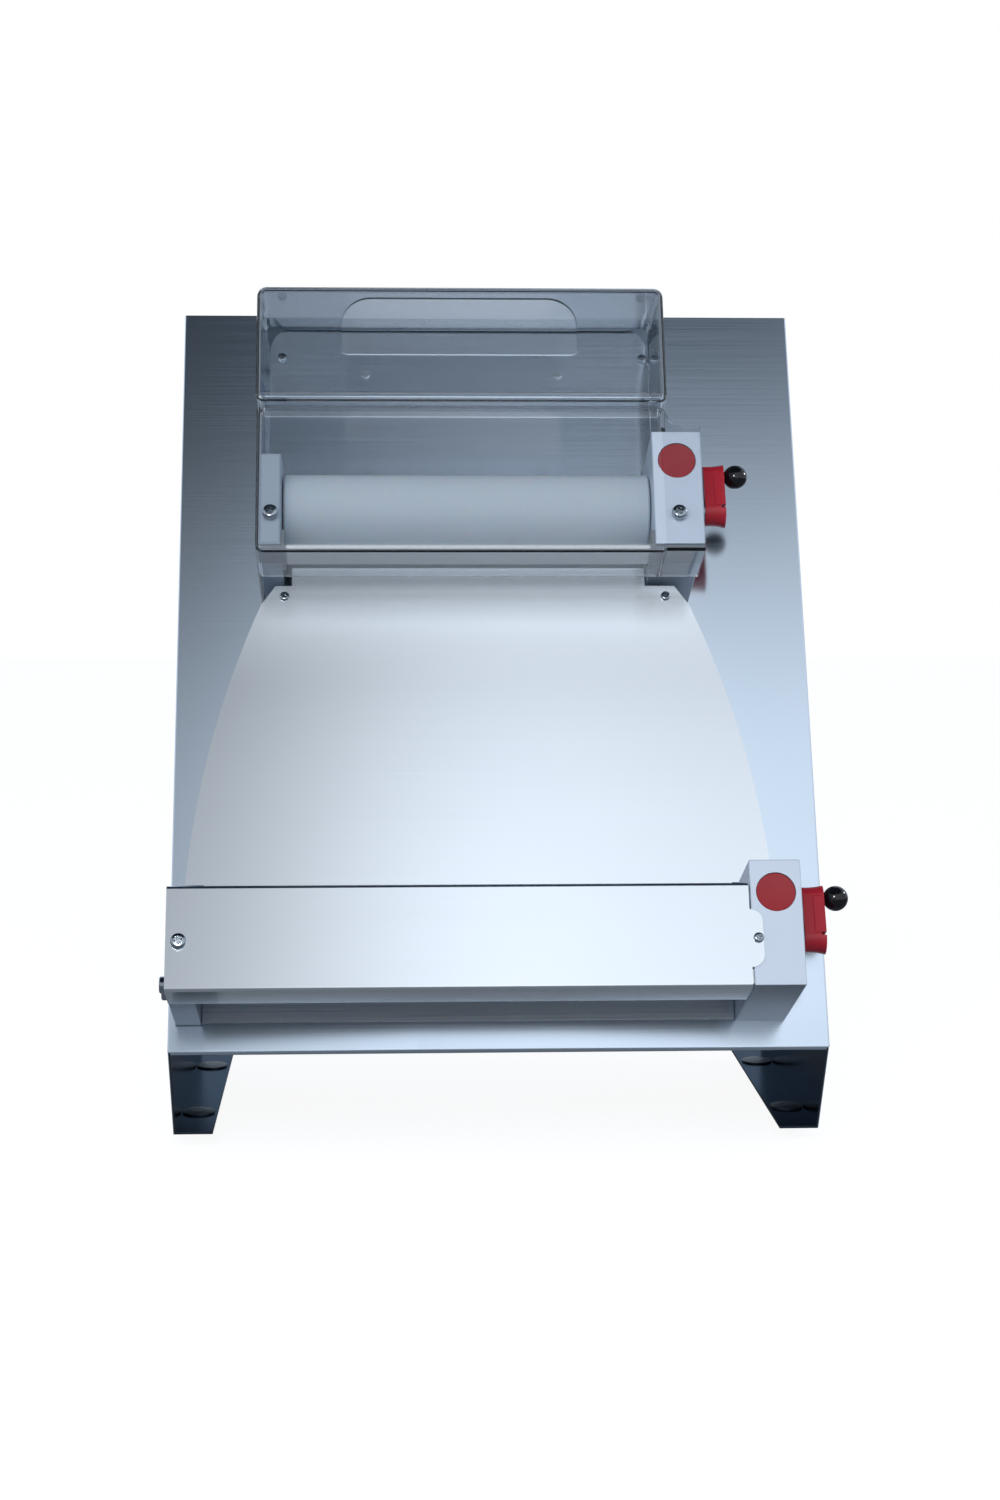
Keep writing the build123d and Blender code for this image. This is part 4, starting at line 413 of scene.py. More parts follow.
def stock(name, dark, pale, grain, smooth, rough, relief, painted_shade=None, **shader):
    """A finish whose colour, roughness and relief follow one grain, with painted shade on lower faces."""
    material, tree = start_material(name)
    spots = add(tree, "ShaderNodeTexCoord")
    noise = add(tree, "ShaderNodeTexNoise", {"Vector": spots.outputs["Object"], "Scale": 1 / (grain * MM),
                                             "Detail": 4.0, "Roughness": 0.6})
    fine = noise.outputs["Fac"]
    colour = blend(tree, fine, linear(dark), linear(pale))
    bump = add(tree, "ShaderNodeBump", {"Strength": 0.25, "Distance": relief * MM, "Height": fine})
    # Faces that look down the slope take a painted shade tone where one is given.
    inputs = {"Base Color": paint_shade_below(tree, spots, colour, painted_shade),
              "Roughness": remap(tree, fine, SHEEN_LOW, SHEEN_HIGH, smooth, rough),
              "Normal": bump.outputs[0]}
    inputs.update({key.replace("_", " "): value for key, value in shader.items()})
    body = add(tree, "ShaderNodeBsdfPrincipled", inputs)
    add(tree, "ShaderNodeOutputMaterial", {"Surface": body.outputs[0]})
    return material


# The casings' faces that look down the slope get a painted shade, #8c96a4.
cast_metal = stock("blasted aluminium casing", "#d3dff1", "#dce8f8", 1.2, 0.3, 0.36, 0.002,
                   painted_shade="#8c96a4", Metallic=0.25)
block_metal = stock("blasted aluminium block", "#9ba9b9", "#a7b5c4", 1.2, 0.3, 0.36, 0.002, Metallic=0.3)
turned_metal = stock("turned steel", "#9aa0a6", "#b4babf", 3.0, 0.24, 0.36, 0.01, Metallic=1.0)
bright_metal = stock("polished steel pin", "#d8dde2", "#eef1f3", 2.0, 0.12, 0.2, 0.01, Metallic=1.0)
zinc_plate = stock("zinc-plated screw steel", "#929ca6", "#b2bbc4", 2.0, 0.1, 0.15, 0.005, Metallic=1.0)
foot_metal = stock("dull plated disc", "#39434e", "#4a5561", 2.0, 0.35, 0.45, 0.02, Metallic=0.8)
bronze = stock("sintered bronze", "#9a7440", "#b58d55", 1.0, 0.35, 0.45, 0.02, Metallic=1.0)
roller_plastic = stock("white polyethylene", "#b9c6d2", "#c8d3dd", 2.0, 0.36, 0.48, 0.02,
                       Subsurface_Weight=0.5, Subsurface_Scale=18 * MM)
red_plastic = stock("red moulded nylon", "#a81c2a", "#b62635", 1.5, 0.32, 0.42, 0.02)
plug_plastic = stock("red moulded polyethylene", "#971c26", "#a32832", 1.5, 0.34, 0.44, 0.02)
green_plastic = stock("green moulded nylon", "#0f6b2c", "#188038", 1.5, 0.25, 0.35, 0.01)
black_plastic = stock("black bakelite", "#07080a", "#0e0f12", 2.0, 0.06, 0.1, 0.005)
box_plastic = stock("dark polyamide", "#1b1c1f", "#27292c", 1.0, 0.45, 0.6, 0.03)
rubber = stock("black rubber", "#141415", "#1f2021", 0.8, 0.6, 0.75, 0.04)
motor_paint = stock("grey motor enamel", "#525b63", "#626c74", 2.0, 0.4, 0.5, 0.03)
print("a finish is made of", len(rubber.node_tree.nodes), "nodes")

# %% [markdown]
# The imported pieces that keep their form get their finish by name: steel for what turns and slides,
# bronze for the bushes it runs in, plastic for the rollers that touch the dough.

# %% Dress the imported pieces
for stage in ("upper_", "lower_"):
    dress(turned_metal, *[stage + piece for piece in (
        "rear_shaft", "rear_gear", "rear_pulley", "left_slider", "front_axle", "right_yoke",
        "front_gear", "eccentric_shaft")])
    dress(roller_plastic, stage + "front_roller", stage + "rear_roller")
    dress(bronze, stage + "front_bushes")
    dress(bright_metal, stage + "index_pin")
dress(bronze, "rear_bushes")
dress(zinc_plate, "block_bolts")
dress(foot_metal, "foot_fixings")
dress(turned_metal, "stand_offs", "cross_beams", "motor_shaft", "motor_pulleys")
dress(box_plastic, "button_box", "cable_gland")
dress(rubber, "drive_belts")
dress(motor_paint, "gearmotor")
print("stock finishes are on")

# %% [markdown]
# ## The upper scraper
# The two ends of the upper scraper bar, past the roller, carry a painted shade: a dull dark tone that
# stands in for shade there. The place across the machine mixes the two tones without an image.

# %% Scraper with painted end shade
SCRAPER_MIDDLE, UNSHADED_REACH, SHADE_FADE = -28 * MM, 145.5 * MM, 2 * MM
BAR_TONES, ENDS_PAINTED_SHADE = ("#dcdee1", "#eaecee"), "#7d868f"
BAR_GRAIN, BAR_SMOOTH, BAR_ROUGH = 2 * MM, 0.3, 0.4

end_shaded_steel, tree = start_material("scraper steel with painted end shade")
spots = add(tree, "ShaderNodeTexCoord")
# The mask is 1 past the roller, where the bar takes a painted shade tone instead of its own colour.
past = remap(tree, off_middle(tree, spots, SCRAPER_MIDDLE), UNSHADED_REACH, UNSHADED_REACH + SHADE_FADE)
noise = add(tree, "ShaderNodeTexNoise", {"Vector": spots.outputs["Object"], "Scale": 1 / BAR_GRAIN,
                                         "Detail": 4.0})
fine = noise.outputs["Fac"]
rubbed = blend(tree, fine, *[linear(tone) for tone in BAR_TONES])
steel = add(tree, "ShaderNodeBsdfPrincipled", {
    "Base Color": blend(tree, past, rubbed, linear(ENDS_PAINTED_SHADE)), "Metallic": 0.3,
    "Roughness": remap(tree, fine, SHEEN_LOW, SHEEN_HIGH, BAR_SMOOTH, BAR_ROUGH)})
add(tree, "ShaderNodeOutputMaterial", {"Surface": steel.outputs[0]})
dress(end_shaded_steel, "upper_scrapers")
low, high = (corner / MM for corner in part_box("upper_scrapers"))
print("upper scrapers reach from", round(low.x, 1), "to", round(high.x, 1), "mm")

# %% [markdown]
# ## The clear hood's acrylic
# Acrylic bends light less than glass, with an index of about 1.49. Flour and handling leave a faint haze,
# so the surface isn't a perfect mirror. A broad noise makes the haze uneven, as wiping does. The hood is
# modelled with its thickness, so full transmission also bends the light at its edges.

# %% Acrylic
ACRYLIC_INDEX, ACRYLIC_TINT, HAZE_SIZE = 1.49, "#eef1f4", 45 * MM
HAZE_LOW, HAZE_HIGH, WIPED, HAZY = 0.35, 0.7, 0.015, 0.05

acrylic, tree = start_material("clear acrylic sheet")
spots = add(tree, "ShaderNodeTexCoord")
haze = add(tree, "ShaderNodeTexNoise", {"Vector": spots.outputs["Object"], "Scale": 1 / HAZE_SIZE,
                                        "Detail": 3.0})
clear = add(tree, "ShaderNodeBsdfPrincipled", {
    "Base Color": linear(ACRYLIC_TINT), "IOR": ACRYLIC_INDEX, "Transmission Weight": 1.0,
    "Roughness": remap(tree, haze.outputs["Fac"], HAZE_LOW, HAZE_HIGH, WIPED, HAZY)})
add(tree, "ShaderNodeOutputMaterial", {"Surface": clear.outputs[0]})
print("hood material:", acrylic.name)

# %% [markdown]
# ## A bench on the slope
# The moulded and turned pieces sit on the sloped panel, so they are modelled on a level bench with x
# across the machine, y up the slope and z out of the panel, and are set on the slope when finished.
# Sizes on the bench are in mm. The first helpers find things there: a point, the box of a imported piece,
# and the faces, edges or points that pass a test on where they are and which way they look.

# %% Helpers for finding
BENCH = Matrix.Translation(LIP) @ Matrix.Rotation(SLOPE, 4, "X")
TO_BENCH = BENCH.inverted()
STRAIGHT = 0.9


def mm(*values):
    """A point in millimetres as a vector in metres."""
    return Vector(values) * MM


def bench_box(node):
    """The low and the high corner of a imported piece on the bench, in mm."""
    spots = [(TO_BENCH @ vertex.co) / MM for vertex in nodes[node].data.vertices]
    return [Vector([end(values) for values in zip(*spots)]) for end in (min, max)]


def pick(piece, kind, test):
    """Select what passes a test on its middle in mm and its direction: a normal, or an edge's run."""
    bpy.ops.mesh.select_mode(type=kind)
    bpy.ops.mesh.select_all(action="DESELECT")
    mesh = bmesh.from_edit_mesh(piece.data)
    hits = []
    for item in {"FACE": mesh.faces, "EDGE": mesh.edges, "VERT": mesh.verts}[kind]:
        spots = [item.co] if kind == "VERT" else [v.co for v in item.verts]
        run = (spots[-1] - spots[0]).normalized() if kind == "EDGE" else item.normal
        if test(sum(spots, Vector()) / len(spots) / MM, run):
            hits.append(item)
    for item in hits:
        item.select_set(True)
    mesh.select_flush_mode()
    bmesh.update_edit_mesh(piece.data)


def looks_out(at, way):
    """The test for faces that look out of the panel."""
    return way.z > STRAIGHT


def looks_in(at, way):
    """The test for faces that look into the panel."""
    return way.z < -STRAIGHT


print("the bench has its origin at", [round(v / MM, 1) for v in LIP], "mm")

# %% [markdown]
# The other helpers work on a piece: they open a new primitive in edit mode, extrude, inset or bevel
# what is selected, apply a modifier, or cut one solid with another. The last one seats a finished piece
# on the slope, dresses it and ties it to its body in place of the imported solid.

# %% Helpers for modelling
def open_up(name):
    """Name the primitive just added, put its place in its mesh and open it in edit mode."""
    piece = bpy.context.object
    piece.name = name
    bpy.ops.object.transform_apply(location=True, rotation=True, scale=True)
    bpy.ops.object.mode_set(mode="EDIT")
    return piece


def extrude(*way):
    """Extrude the selected faces."""
    bpy.ops.mesh.extrude_region_move(TRANSFORM_OT_translate={"value": mm(*way)})


def inset(width, depth=0.0):
    """Inset the selected faces and raise them, or sink them by a depth below zero."""
    bpy.ops.mesh.inset(thickness=width * MM, depth=depth * MM)


def round_edges(radius, segments, **settings):
    """Bevel the selected edges."""
    bpy.ops.mesh.bevel(offset=radius * MM, segments=segments, affect="EDGES", **settings)


def only(piece):
    """Leave edit mode and make a piece the only one selected."""
    if bpy.context.object and bpy.context.object.mode == "EDIT":
        bpy.ops.object.mode_set(mode="OBJECT")
    bpy.ops.object.select_all(action="DESELECT")
    bpy.context.view_layer.objects.active = piece
    piece.select_set(True)


def work(piece, kind, **settings):
    """Add a modifier to a piece and apply it."""
    only(piece)
    tool = piece.modifiers.new(kind.lower(), kind)
    for name, value in settings.items():
        setattr(tool, name, value)
    bpy.ops.object.modifier_apply(modifier=tool.name)


def soften(piece, radius, segments, sharp):
    """Bevel every edge of a piece that turns by more than an angle in degrees."""
    work(piece, "BEVEL", width=radius * MM, segments=segments, limit_method="ANGLE",
         angle_limit=radians(sharp))


def combine(piece, other, operation="DIFFERENCE"):
    """Cut another solid out of a piece, or fuse it on by UNION, and throw the other away."""
    only(other)
    work(piece, "BOOLEAN", operation=operation, solver="EXACT", object=other)
    bpy.data.objects.remove(other)


def seat(piece, body, slot, node, finish, flat=35):
    """Set a finished piece on the slope, dress it and tie it to its body in place of a CAD node."""
    only(piece)
    piece.matrix_world = BENCH
    bpy.ops.object.transform_apply(location=True, rotation=True, scale=True)
    bpy.ops.object.shade_smooth_by_angle(angle=radians(flat))
    work(piece, "WEIGHTED_NORMAL", keep_sharp=True)
    piece.data.materials.clear()
    piece.data.materials.append(finish)
    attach(piece, body)
    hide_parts(node)
    print(piece.name, "has", len(piece.data.polygons), "faces")


tools = (open_up, extrude, inset, round_edges, only, work, soften, combine, seat)
print("modelling helpers:", [tool.__name__ for tool in tools])

# %% [markdown]
# ## The two stages
# The upper and the lower roller pair are built alike, so their levers, knobs and plugs are made in
# loops. A casing is centred on its rollers' axis, so its box gives how far up the slope that axis lies
# and where the casing's inner face is. The front axle gives how far out of the panel it lies.

# %% Stages
STAGES = []
for stage in ("upper", "lower"):
    low, high = bench_box(stage + "_right_casing")
    STAGES.append((stage, (low.y + high.y) / 2, low.x))
low, high = bench_box("upper_front_axle")
AXIS_OUT = (low.z + high.z) / 2
print("stages:", [(stage, round(axis, 2), round(casing, 2)) for stage, axis, casing in STAGES])

# %% [markdown]
# ## Thickness levers
# Each lever is a moulded arm that runs from a wide hub to a narrower tip and flares towards its outer
# side. It starts as a cylinder, because both of its ends are round: the upper half of its rim is pulled
# up the slope and drawn in to make the tip, two cuts give loops for the flare, and an inset raises the
# thumb pad on the front. A slit from the outer side lets the hub clamp its shaft.

# %% Levers
TOUCH = 0.1
LEVER_REACH, HUB_RADIUS, TIP_RADIUS = 32.0, 11.6, 8.8
FLARE = ((0.38, 1.0), (0.68, 1.018), (1.0, 1.06))
PAD_IN, PAD_LOW, PAD_HIGH, PAD_MARGIN, PAD_RIM, PAD_FACING = 6.0, 4.0, 1.0, 1.3, 0.7, 0.85
SLIT, SLIT_UP, SLIT_OUT, SLIT_CORNER = (8.0, 2.6, 22.0), 0.6, 9.0, 1.2

for stage, axis, _ in STAGES:
    inner, outer = (corner.x for corner in bench_box(stage + "_lever"))
    width = outer - inner
    tip, middle = axis + LEVER_REACH, axis + LEVER_REACH / 2
    bpy.ops.mesh.primitive_cylinder_add(
        vertices=48, radius=HUB_RADIUS * MM, depth=width * MM, rotation=(0, pi / 2, 0),
        location=mm((inner + outer) / 2, axis, AXIS_OUT))
    lever = open_up(stage + "_lever_arm")
    pick(lever, "VERT", lambda at, way: at.y > axis + TOUCH)
    bpy.ops.transform.translate(value=mm(0, LEVER_REACH, 0))
    ratio = TIP_RADIUS / HUB_RADIUS
    bpy.ops.transform.resize(value=(1, ratio, ratio), center_override=mm(0, tip, AXIS_OUT))
    for share, growth in FLARE:
        loop = inner + share * width
        if share < 1:
            bpy.ops.mesh.select_all(action="SELECT")
            bpy.ops.mesh.bisect(plane_co=mm(loop, 0, 0), plane_no=(1, 0, 0))
        pick(lever, "VERT", lambda at, way: abs(at.x - loop) < TOUCH)
        bpy.ops.transform.resize(value=(1, growth, growth), center_override=mm(0, middle, AXIS_OUT))
    pick(lever, "FACE", lambda at, way: (way.z > PAD_FACING and at.x > inner + PAD_IN
                                         and axis + PAD_LOW < at.y < tip - PAD_HIGH))
    inset(PAD_MARGIN)
    inset(PAD_RIM, PAD_RIM)
    bpy.ops.mesh.select_all(action="SELECT")
    bpy.ops.mesh.normals_make_consistent(inside=False)
    bpy.ops.object.mode_set(mode="OBJECT")
    bpy.ops.mesh.primitive_cube_add(size=1, scale=mm(*SLIT),
                                    location=mm(outer, axis + SLIT_UP, AXIS_OUT + SLIT_OUT))
    slit = open_up("slit")
    pick(slit, "EDGE", lambda at, way: abs(way.z) > STRAIGHT and at.x < outer)
    round_edges(SLIT_CORNER, segments=4)
    combine(lever, slit)
    soften(lever, radius=0.9, segments=3, sharp=38)
    seat(lever, stage + "_lever_set", "red_plastic", stage + "_lever", red_plastic)

# %% [markdown]
# ## Ball knobs
# A pressed bakelite ball has a flat neck where it meets its pin and a fine seam where the two halves of
# the mould met. A sphere of rings is used, laid on its side, because its end rings press flat into the
# neck and its middle ring is where the seam lies. The seam is a narrow bevel of that ring, sunk by a
# little less than a tenth of a millimetre.

# %% Ball knobs
BALL_RADIUS, BALL_FROM_CASING, NECK_START, NECK_FLAT = 10.0, 74.5, 8.9, 9.46
SEAM, SEAM_DEPTH, SEAM_FINE, SEAM_FACE = 0.2, 0.08, 0.01, 0.05

for stage, axis, casing in STAGES:
    across = casing + BALL_FROM_CASING
    middle = mm(across, axis + LEVER_REACH, AXIS_OUT)
    bpy.ops.mesh.primitive_uv_sphere_add(segments=48, ring_count=28, radius=BALL_RADIUS * MM,
                                         rotation=(0, pi / 2, 0), location=middle)
    knob = open_up(stage + "_ball")
    pick(knob, "VERT", lambda at, way: at.x < across - NECK_START)
    bpy.ops.transform.resize(value=(0, 1, 1), center_override=middle - mm(NECK_FLAT, 0, 0))
    pick(knob, "EDGE", lambda at, way: abs(at.x - across) < SEAM_FINE and abs(way.x) < SEAM_FINE)
    round_edges(SEAM, segments=1)
    pick(knob, "FACE", lambda at, way: abs(at.x - across) < SEAM_FACE and abs(way.x) < SEAM_FACE)
    bpy.ops.transform.shrink_fatten(value=-SEAM_DEPTH * MM)
    seat(knob, stage + "_index_set", "black_plastic", stage + "_ball_knob", black_plastic, flat=60)
    sparks.objects.link(knob)

# %% [markdown]
# ## Casing plugs
# A plug is a moulded disc that is pressed into the casing a little below its face, so that a thin dark
# ring shows round it. Its face is dished by insets, which stay concentric with the rim. Two are made,
# one for each casing, and joined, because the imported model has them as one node.

# %% Plugs
PLUG_RADIUS, PLUG_LOW, PLUG_THICK = 15.2, 115.5, 2.8
PLUG_ABOVE_AXIS, PLUG_ACROSS = 24.0, 20.0
PLUG_DISH = ((0.6, 0.0), (1.0, -0.25), (12.0, -0.5))
STEM_INSET, STEM_LENGTH = 8.3, 5.5

plugs = []
for stage, axis, casing in STAGES:
    bpy.ops.mesh.primitive_cylinder_add(
        vertices=72, radius=PLUG_RADIUS * MM, depth=PLUG_THICK * MM,
        location=mm(casing + PLUG_ACROSS, axis + PLUG_ABOVE_AXIS, PLUG_LOW + PLUG_THICK / 2))
    plug = open_up(stage + "_plug")
    pick(plug, "FACE", looks_out)
    for width, sink in PLUG_DISH:
        inset(width, sink)
    pick(plug, "FACE", looks_in)
    inset(STEM_INSET)
    extrude(0, 0, -STEM_LENGTH)
    bpy.ops.object.mode_set(mode="OBJECT")
    soften(plug, radius=0.35, segments=2, sharp=50)
    plugs.append(plug)
only(plugs[0])
plugs[1].select_set(True)
bpy.ops.object.join()
plugs[0].name = "press_in_plugs"
seat(plugs[0], "frame", "red_plastic", "casing_plugs", plug_plastic)

# %% [markdown]
# ## Screws
# A pan-head screw is a disc with a rounded upper edge, a cross recess and a shank. The bevel rounds the
# head, and two thin wedges cut the cross by a Boolean, which is simpler than building it into the round
# head. The rounding and the cross are shares of the head's height and width, so one function makes both
# sizes.

# %% Screw maker
CROWN, CROWN_BULGE = 0.72, 0.55
CROSS_LENGTH, CROSS_WIDTH, CROSS_DEPTH, CROSS_TAPER, CROSS_TURN = 0.68, 0.2, 1.1, 0.5, 0.35


def pan_screw(name, head, height, shank, length):
    """A cross-recess screw whose head stands on z = 0."""
    bpy.ops.mesh.primitive_cylinder_add(vertices=40, radius=head / 2 * MM, depth=height * MM,
                                        location=mm(0, 0, height / 2))
    screw = open_up(name)
    pick(screw, "EDGE", lambda at, way: at.z > height - TOUCH and abs(way.z) < TOUCH)
    round_edges(height * CROWN, segments=7, profile=CROWN_BULGE)
    pick(screw, "FACE", looks_in)
    inset((head - shank) / 2)
    extrude(0, 0, -length)
    for turn in (0, pi / 2):
        bpy.ops.object.mode_set(mode="OBJECT")
        bpy.ops.mesh.primitive_cube_add(
            size=1, rotation=(0, 0, turn + CROSS_TURN), location=mm(0, 0, height),
            scale=mm(head * CROSS_LENGTH, head * CROSS_WIDTH, height * CROSS_DEPTH))
        wedge = open_up("wedge")
        pick(wedge, "FACE", looks_in)
        bpy.ops.transform.resize(value=(CROSS_TAPER, CROSS_TAPER, 1), center_override=mm(0, 0, 0))
        combine(screw, wedge)
    soften(screw, radius=0.12, segments=2, sharp=45)
    return screw


def set_copies(name, node, slot, finish, model, places, body="frame"):
    """Copy a model to its places, join the copies and put them in place of a CAD node."""
    copies = []
    for place in places:
        only(model)
        bpy.ops.object.duplicate()
        copy = bpy.context.object
        copy.matrix_world = place
        bpy.ops.object.transform_apply(location=True, rotation=True, scale=True)
        copies.append(copy)
    bpy.data.objects.remove(model)
    only(copies[0])
    for copy in copies[1:]:
        copy.select_set(True)
    bpy.ops.object.join()
    copies[0].name = name
    seat(copies[0], body, slot, node, finish)
    return copies[0]


print("a head is rounded over", CROWN, "of its height")

# %% [markdown]
# Each size is modelled once at the origin and copied to its seats. A size is the head's width and
# height and the shank's width and length. The seats on the panel are points of the bench. The screws of
# the back cover lie flat in two upright rows, so their copies are turned, and their places are measured
# from the lip, level with the floor.

# %% Screws in their seats
PAN_SIZE, SMALL_SIZE = (12.5, 4.2, 6.0, 14.0), (8.0, 2.6, 4.0, 10.0)
PAN_SEATS = ((-183.0, 417.5, 122.0), (147.5, 417.5, 122.0), (-248.5, 62.0, 120.5))
SMALL_SEATS = ((-178.0, 599.0, 39.5), (130.9, 599.0, 39.5), (-174.0, 378.5, 39.5), (143.0, 378.5, 39.5),
               (194.0, 62.0, 120.5))
BACK_ACROSS, BACK_FACE, BACK_LOW, BACK_HIGH, BACK_ROWS = 255.0, 359.773, 40.0, 559.34, 4

pan_places = [Matrix.Translation(mm(*spot)) for spot in PAN_SEATS]
small_places = [Matrix.Translation(mm(*spot)) for spot in SMALL_SEATS]
flat = Matrix.Rotation(-pi / 2, 4, "X")
for side in (-1, 1):
    for row in range(BACK_ROWS):
        height = BACK_LOW + row * (BACK_HIGH - BACK_LOW) / (BACK_ROWS - 1)
        spot = LIP + mm(side * BACK_ACROSS, BACK_FACE, height)
        small_places.append(TO_BENCH @ Matrix.Translation(spot) @ flat)
for name, node, size, places in (("pan_heads", "pan_screws", PAN_SIZE, pan_places),
                                 ("small_heads", "small_screws", SMALL_SIZE, small_places)):
    screw = pan_screw(name + "_model", *size)
    heads = set_copies(name, node, "bright_steel", zinc_plate, screw, places)
    sparks.objects.link(heads)

# %% [markdown]
# ## Rubber feet
# A moulded foot is a cone that is wider at the top, with a rounded tread and a deep hole for its
# fixing. It starts as a cone frustum: the tread is inset and pushed in for the hole, and a bevel rounds
# the rims. Four copies stand under the foot flanges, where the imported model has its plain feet.

# %% Feet
FOOT_TOP, FOOT_TREAD, FOOT_HOLE, FOOT_HOLE_DEPTH, PACKED_FOOT = 13.2, 8.8, 4.0, 7.0, 14.0

low, high = (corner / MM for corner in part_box("rubber_feet"))
tall = high.z - low.z
bpy.ops.mesh.primitive_cone_add(vertices=48, radius1=FOOT_TREAD * MM, radius2=FOOT_TOP * MM,
                                depth=tall * MM, location=mm(0, 0, tall / 2))
foot = open_up("foot")
pick(foot, "FACE", looks_in)
inset(FOOT_TREAD - FOOT_HOLE)
extrude(0, 0, FOOT_HOLE_DEPTH)
bpy.ops.object.mode_set(mode="OBJECT")
soften(foot, radius=1.4, segments=3, sharp=40)
foot_places = [TO_BENCH @ Matrix.Translation(mm(x, y, low.z))
               for x in (low.x + PACKED_FOOT, high.x - PACKED_FOOT)
               for y in (low.y + PACKED_FOOT, high.y - PACKED_FOOT)]
set_copies("moulded_feet", "rubber_feet", "foot_rubber", rubber, foot, foot_places)

# %% [markdown]
# ## Push buttons
# A button's cap is moulded with a rounded rim and a dished face that guides the fingertip. Each starts as
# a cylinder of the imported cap's size. Insets of its face that go down a little at a time make the dish,
# and a bevel rounds the rim. The cap is then laid on its side, so that it points out of the right wall.

# %% Buttons
DISH = ((1.3, 0.0), (1.2, -0.45), (2.2, -0.35), (2.6, -0.12))

for name, slot, finish in (("start", "green_plastic", green_plastic), ("stop", "red_plastic", red_plastic)):
    low, high = (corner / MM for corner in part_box(name + "_button"))
    reach, radius, middle = high.x - low.x, (high.y - low.y) / 2, (low + high) / 2
    bpy.ops.mesh.primitive_cylinder_add(vertices=64, radius=radius * MM, depth=reach * MM,
                                        location=mm(0, 0, reach / 2))
    cap = open_up(name + "_cap_model")
    pick(cap, "FACE", looks_out)
    for width, sink in DISH:
        inset(width, sink)
    bpy.ops.object.mode_set(mode="OBJECT")
    soften(cap, radius=0.7, segments=3, sharp=50)
    side_on = Matrix.Translation(mm(low.x, middle.y, middle.z)) @ Matrix.Rotation(pi / 2, 4, "Y")
    set_copies(name + "_cap_moulded", name + "_button", slot, finish, cap, [TO_BENCH @ side_on],
               body=name + "_cap")

# %% [markdown]
# ## Soft edges
# Sheet is folded round a tool with a small radius, and blasted metal has no sharp edge, so each edge shows
# a thin line of light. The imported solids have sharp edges. A copy of each such piece is merged, its
# triangles are dissolved into flat faces, and a bevel rounds the edges between them. Starting from the
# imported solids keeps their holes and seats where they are.

# %% Softened pieces
MERGE, FLATNESS = 0.005, 0.5
SOFTENED = [("lower_cover", "folded_cover", "stainless", tray_steel, 0.7)]
for stage in ("upper", "lower"):
    SOFTENED += [(stage + "_right_casing", stage + "_casing_blasted", "cast_block", cast_metal, 0.8),
                 (stage + "_left_block", stage + "_block_blasted", "cast_block", block_metal, 0.8)]

for node, name, slot, finish, radius in SOFTENED:
    model = bpy.data.objects.new(name + "_model", nodes[node].data.copy())
    scene.collection.objects.link(model)
    only(model)
    bpy.ops.object.mode_set(mode="EDIT")
    bpy.ops.mesh.select_all(action="SELECT")
    bpy.ops.mesh.remove_doubles(threshold=MERGE * MM)
    bpy.ops.mesh.dissolve_limited(angle_limit=radians(FLATNESS))
    soften(model, radius, segments=3, sharp=50)
    set_copies(name, node, slot, finish, model, [TO_BENCH])

# %% [markdown]
# ## The clear hood
# The hood is bent from 3 mm acrylic sheet, with side walls bonded on. It starts as a block of the
# hood's outside: two extrusions make the raised upper part, the top leans back, and the back is taken
# off. Bevels make the bends, and Solidify turns this skin into sheet. That comes before any cut, because
# Solidify only gives an even wall where the skin is plain.

# %% Hood skin
HOOD_LEFT, HOOD_RIGHT, WING_RIGHT = -195.0, 139.6, 167.5
HOOD_LOW, HOOD_STEP, HOOD_TOP, WING_TOP = 385.0, 509.0, 612.0, 494.0
LOW_FACE, HIGH_FACE, FLANGE_END, TOP_END = 122.0, 143.0, 66.0, 44.0
LEFT_FOOT, RIGHT_FOOT, LEAN, ACRYLIC = 0.5, 40.0, 0.1744, 3.0
CORNER, BEND = 8.0, 6.0


def block(name, low, high):
    """A box between two corners, open in edit mode."""
    low, high = mm(*low), mm(*high)
    bpy.ops.mesh.primitive_cube_add(size=1, scale=high - low, location=(low + high) / 2)
    return open_up(name)


hood = block("clear_hood", (HOOD_LEFT, HOOD_LOW, LEFT_FOOT), (HOOD_RIGHT, HOOD_STEP, LOW_FACE))
pick(hood, "FACE", lambda at, way: way.y > STRAIGHT)
extrude(0, HOOD_TOP - HOOD_STEP, 0)
pick(hood, "FACE", lambda at, way: looks_out(at, way) and at.y > HOOD_STEP)
extrude(0, 0, HIGH_FACE - LOW_FACE)
for depth in (LEFT_FOOT, LOW_FACE):
    pick(hood, "VERT", lambda at, way: at.y > HOOD_TOP - TOUCH and abs(at.z - depth) < TOUCH)
    bpy.ops.transform.translate(value=mm(0, LEAN * (HIGH_FACE - depth), 0))
pick(hood, "FACE", looks_in)
bpy.ops.mesh.delete(type="FACE")
pick(hood, "EDGE", lambda at, way: abs(way.z) > STRAIGHT and at.y > HOOD_TOP - TOUCH)
round_edges(CORNER, segments=6)
soften(hood, BEND, segments=4, sharp=50)
work(hood, "SOLIDIFY", thickness=ACRYLIC * MM, offset=-1.0, use_even_offset=True)
print("hood sheet has", len(hood.data.polygons), "faces")

# %% [markdown]
# The real walls don't all reach the panel: the right one stops over the feed plate and above the wing,
# the top plate stops short of the panel and the lower flange is only a strip. Boxes cut these away, and
# reach a little past the sheet so that no thin sliver stays. The wing over the casing is a second bent
# plate, fused on, with a small concave corner to the wall.

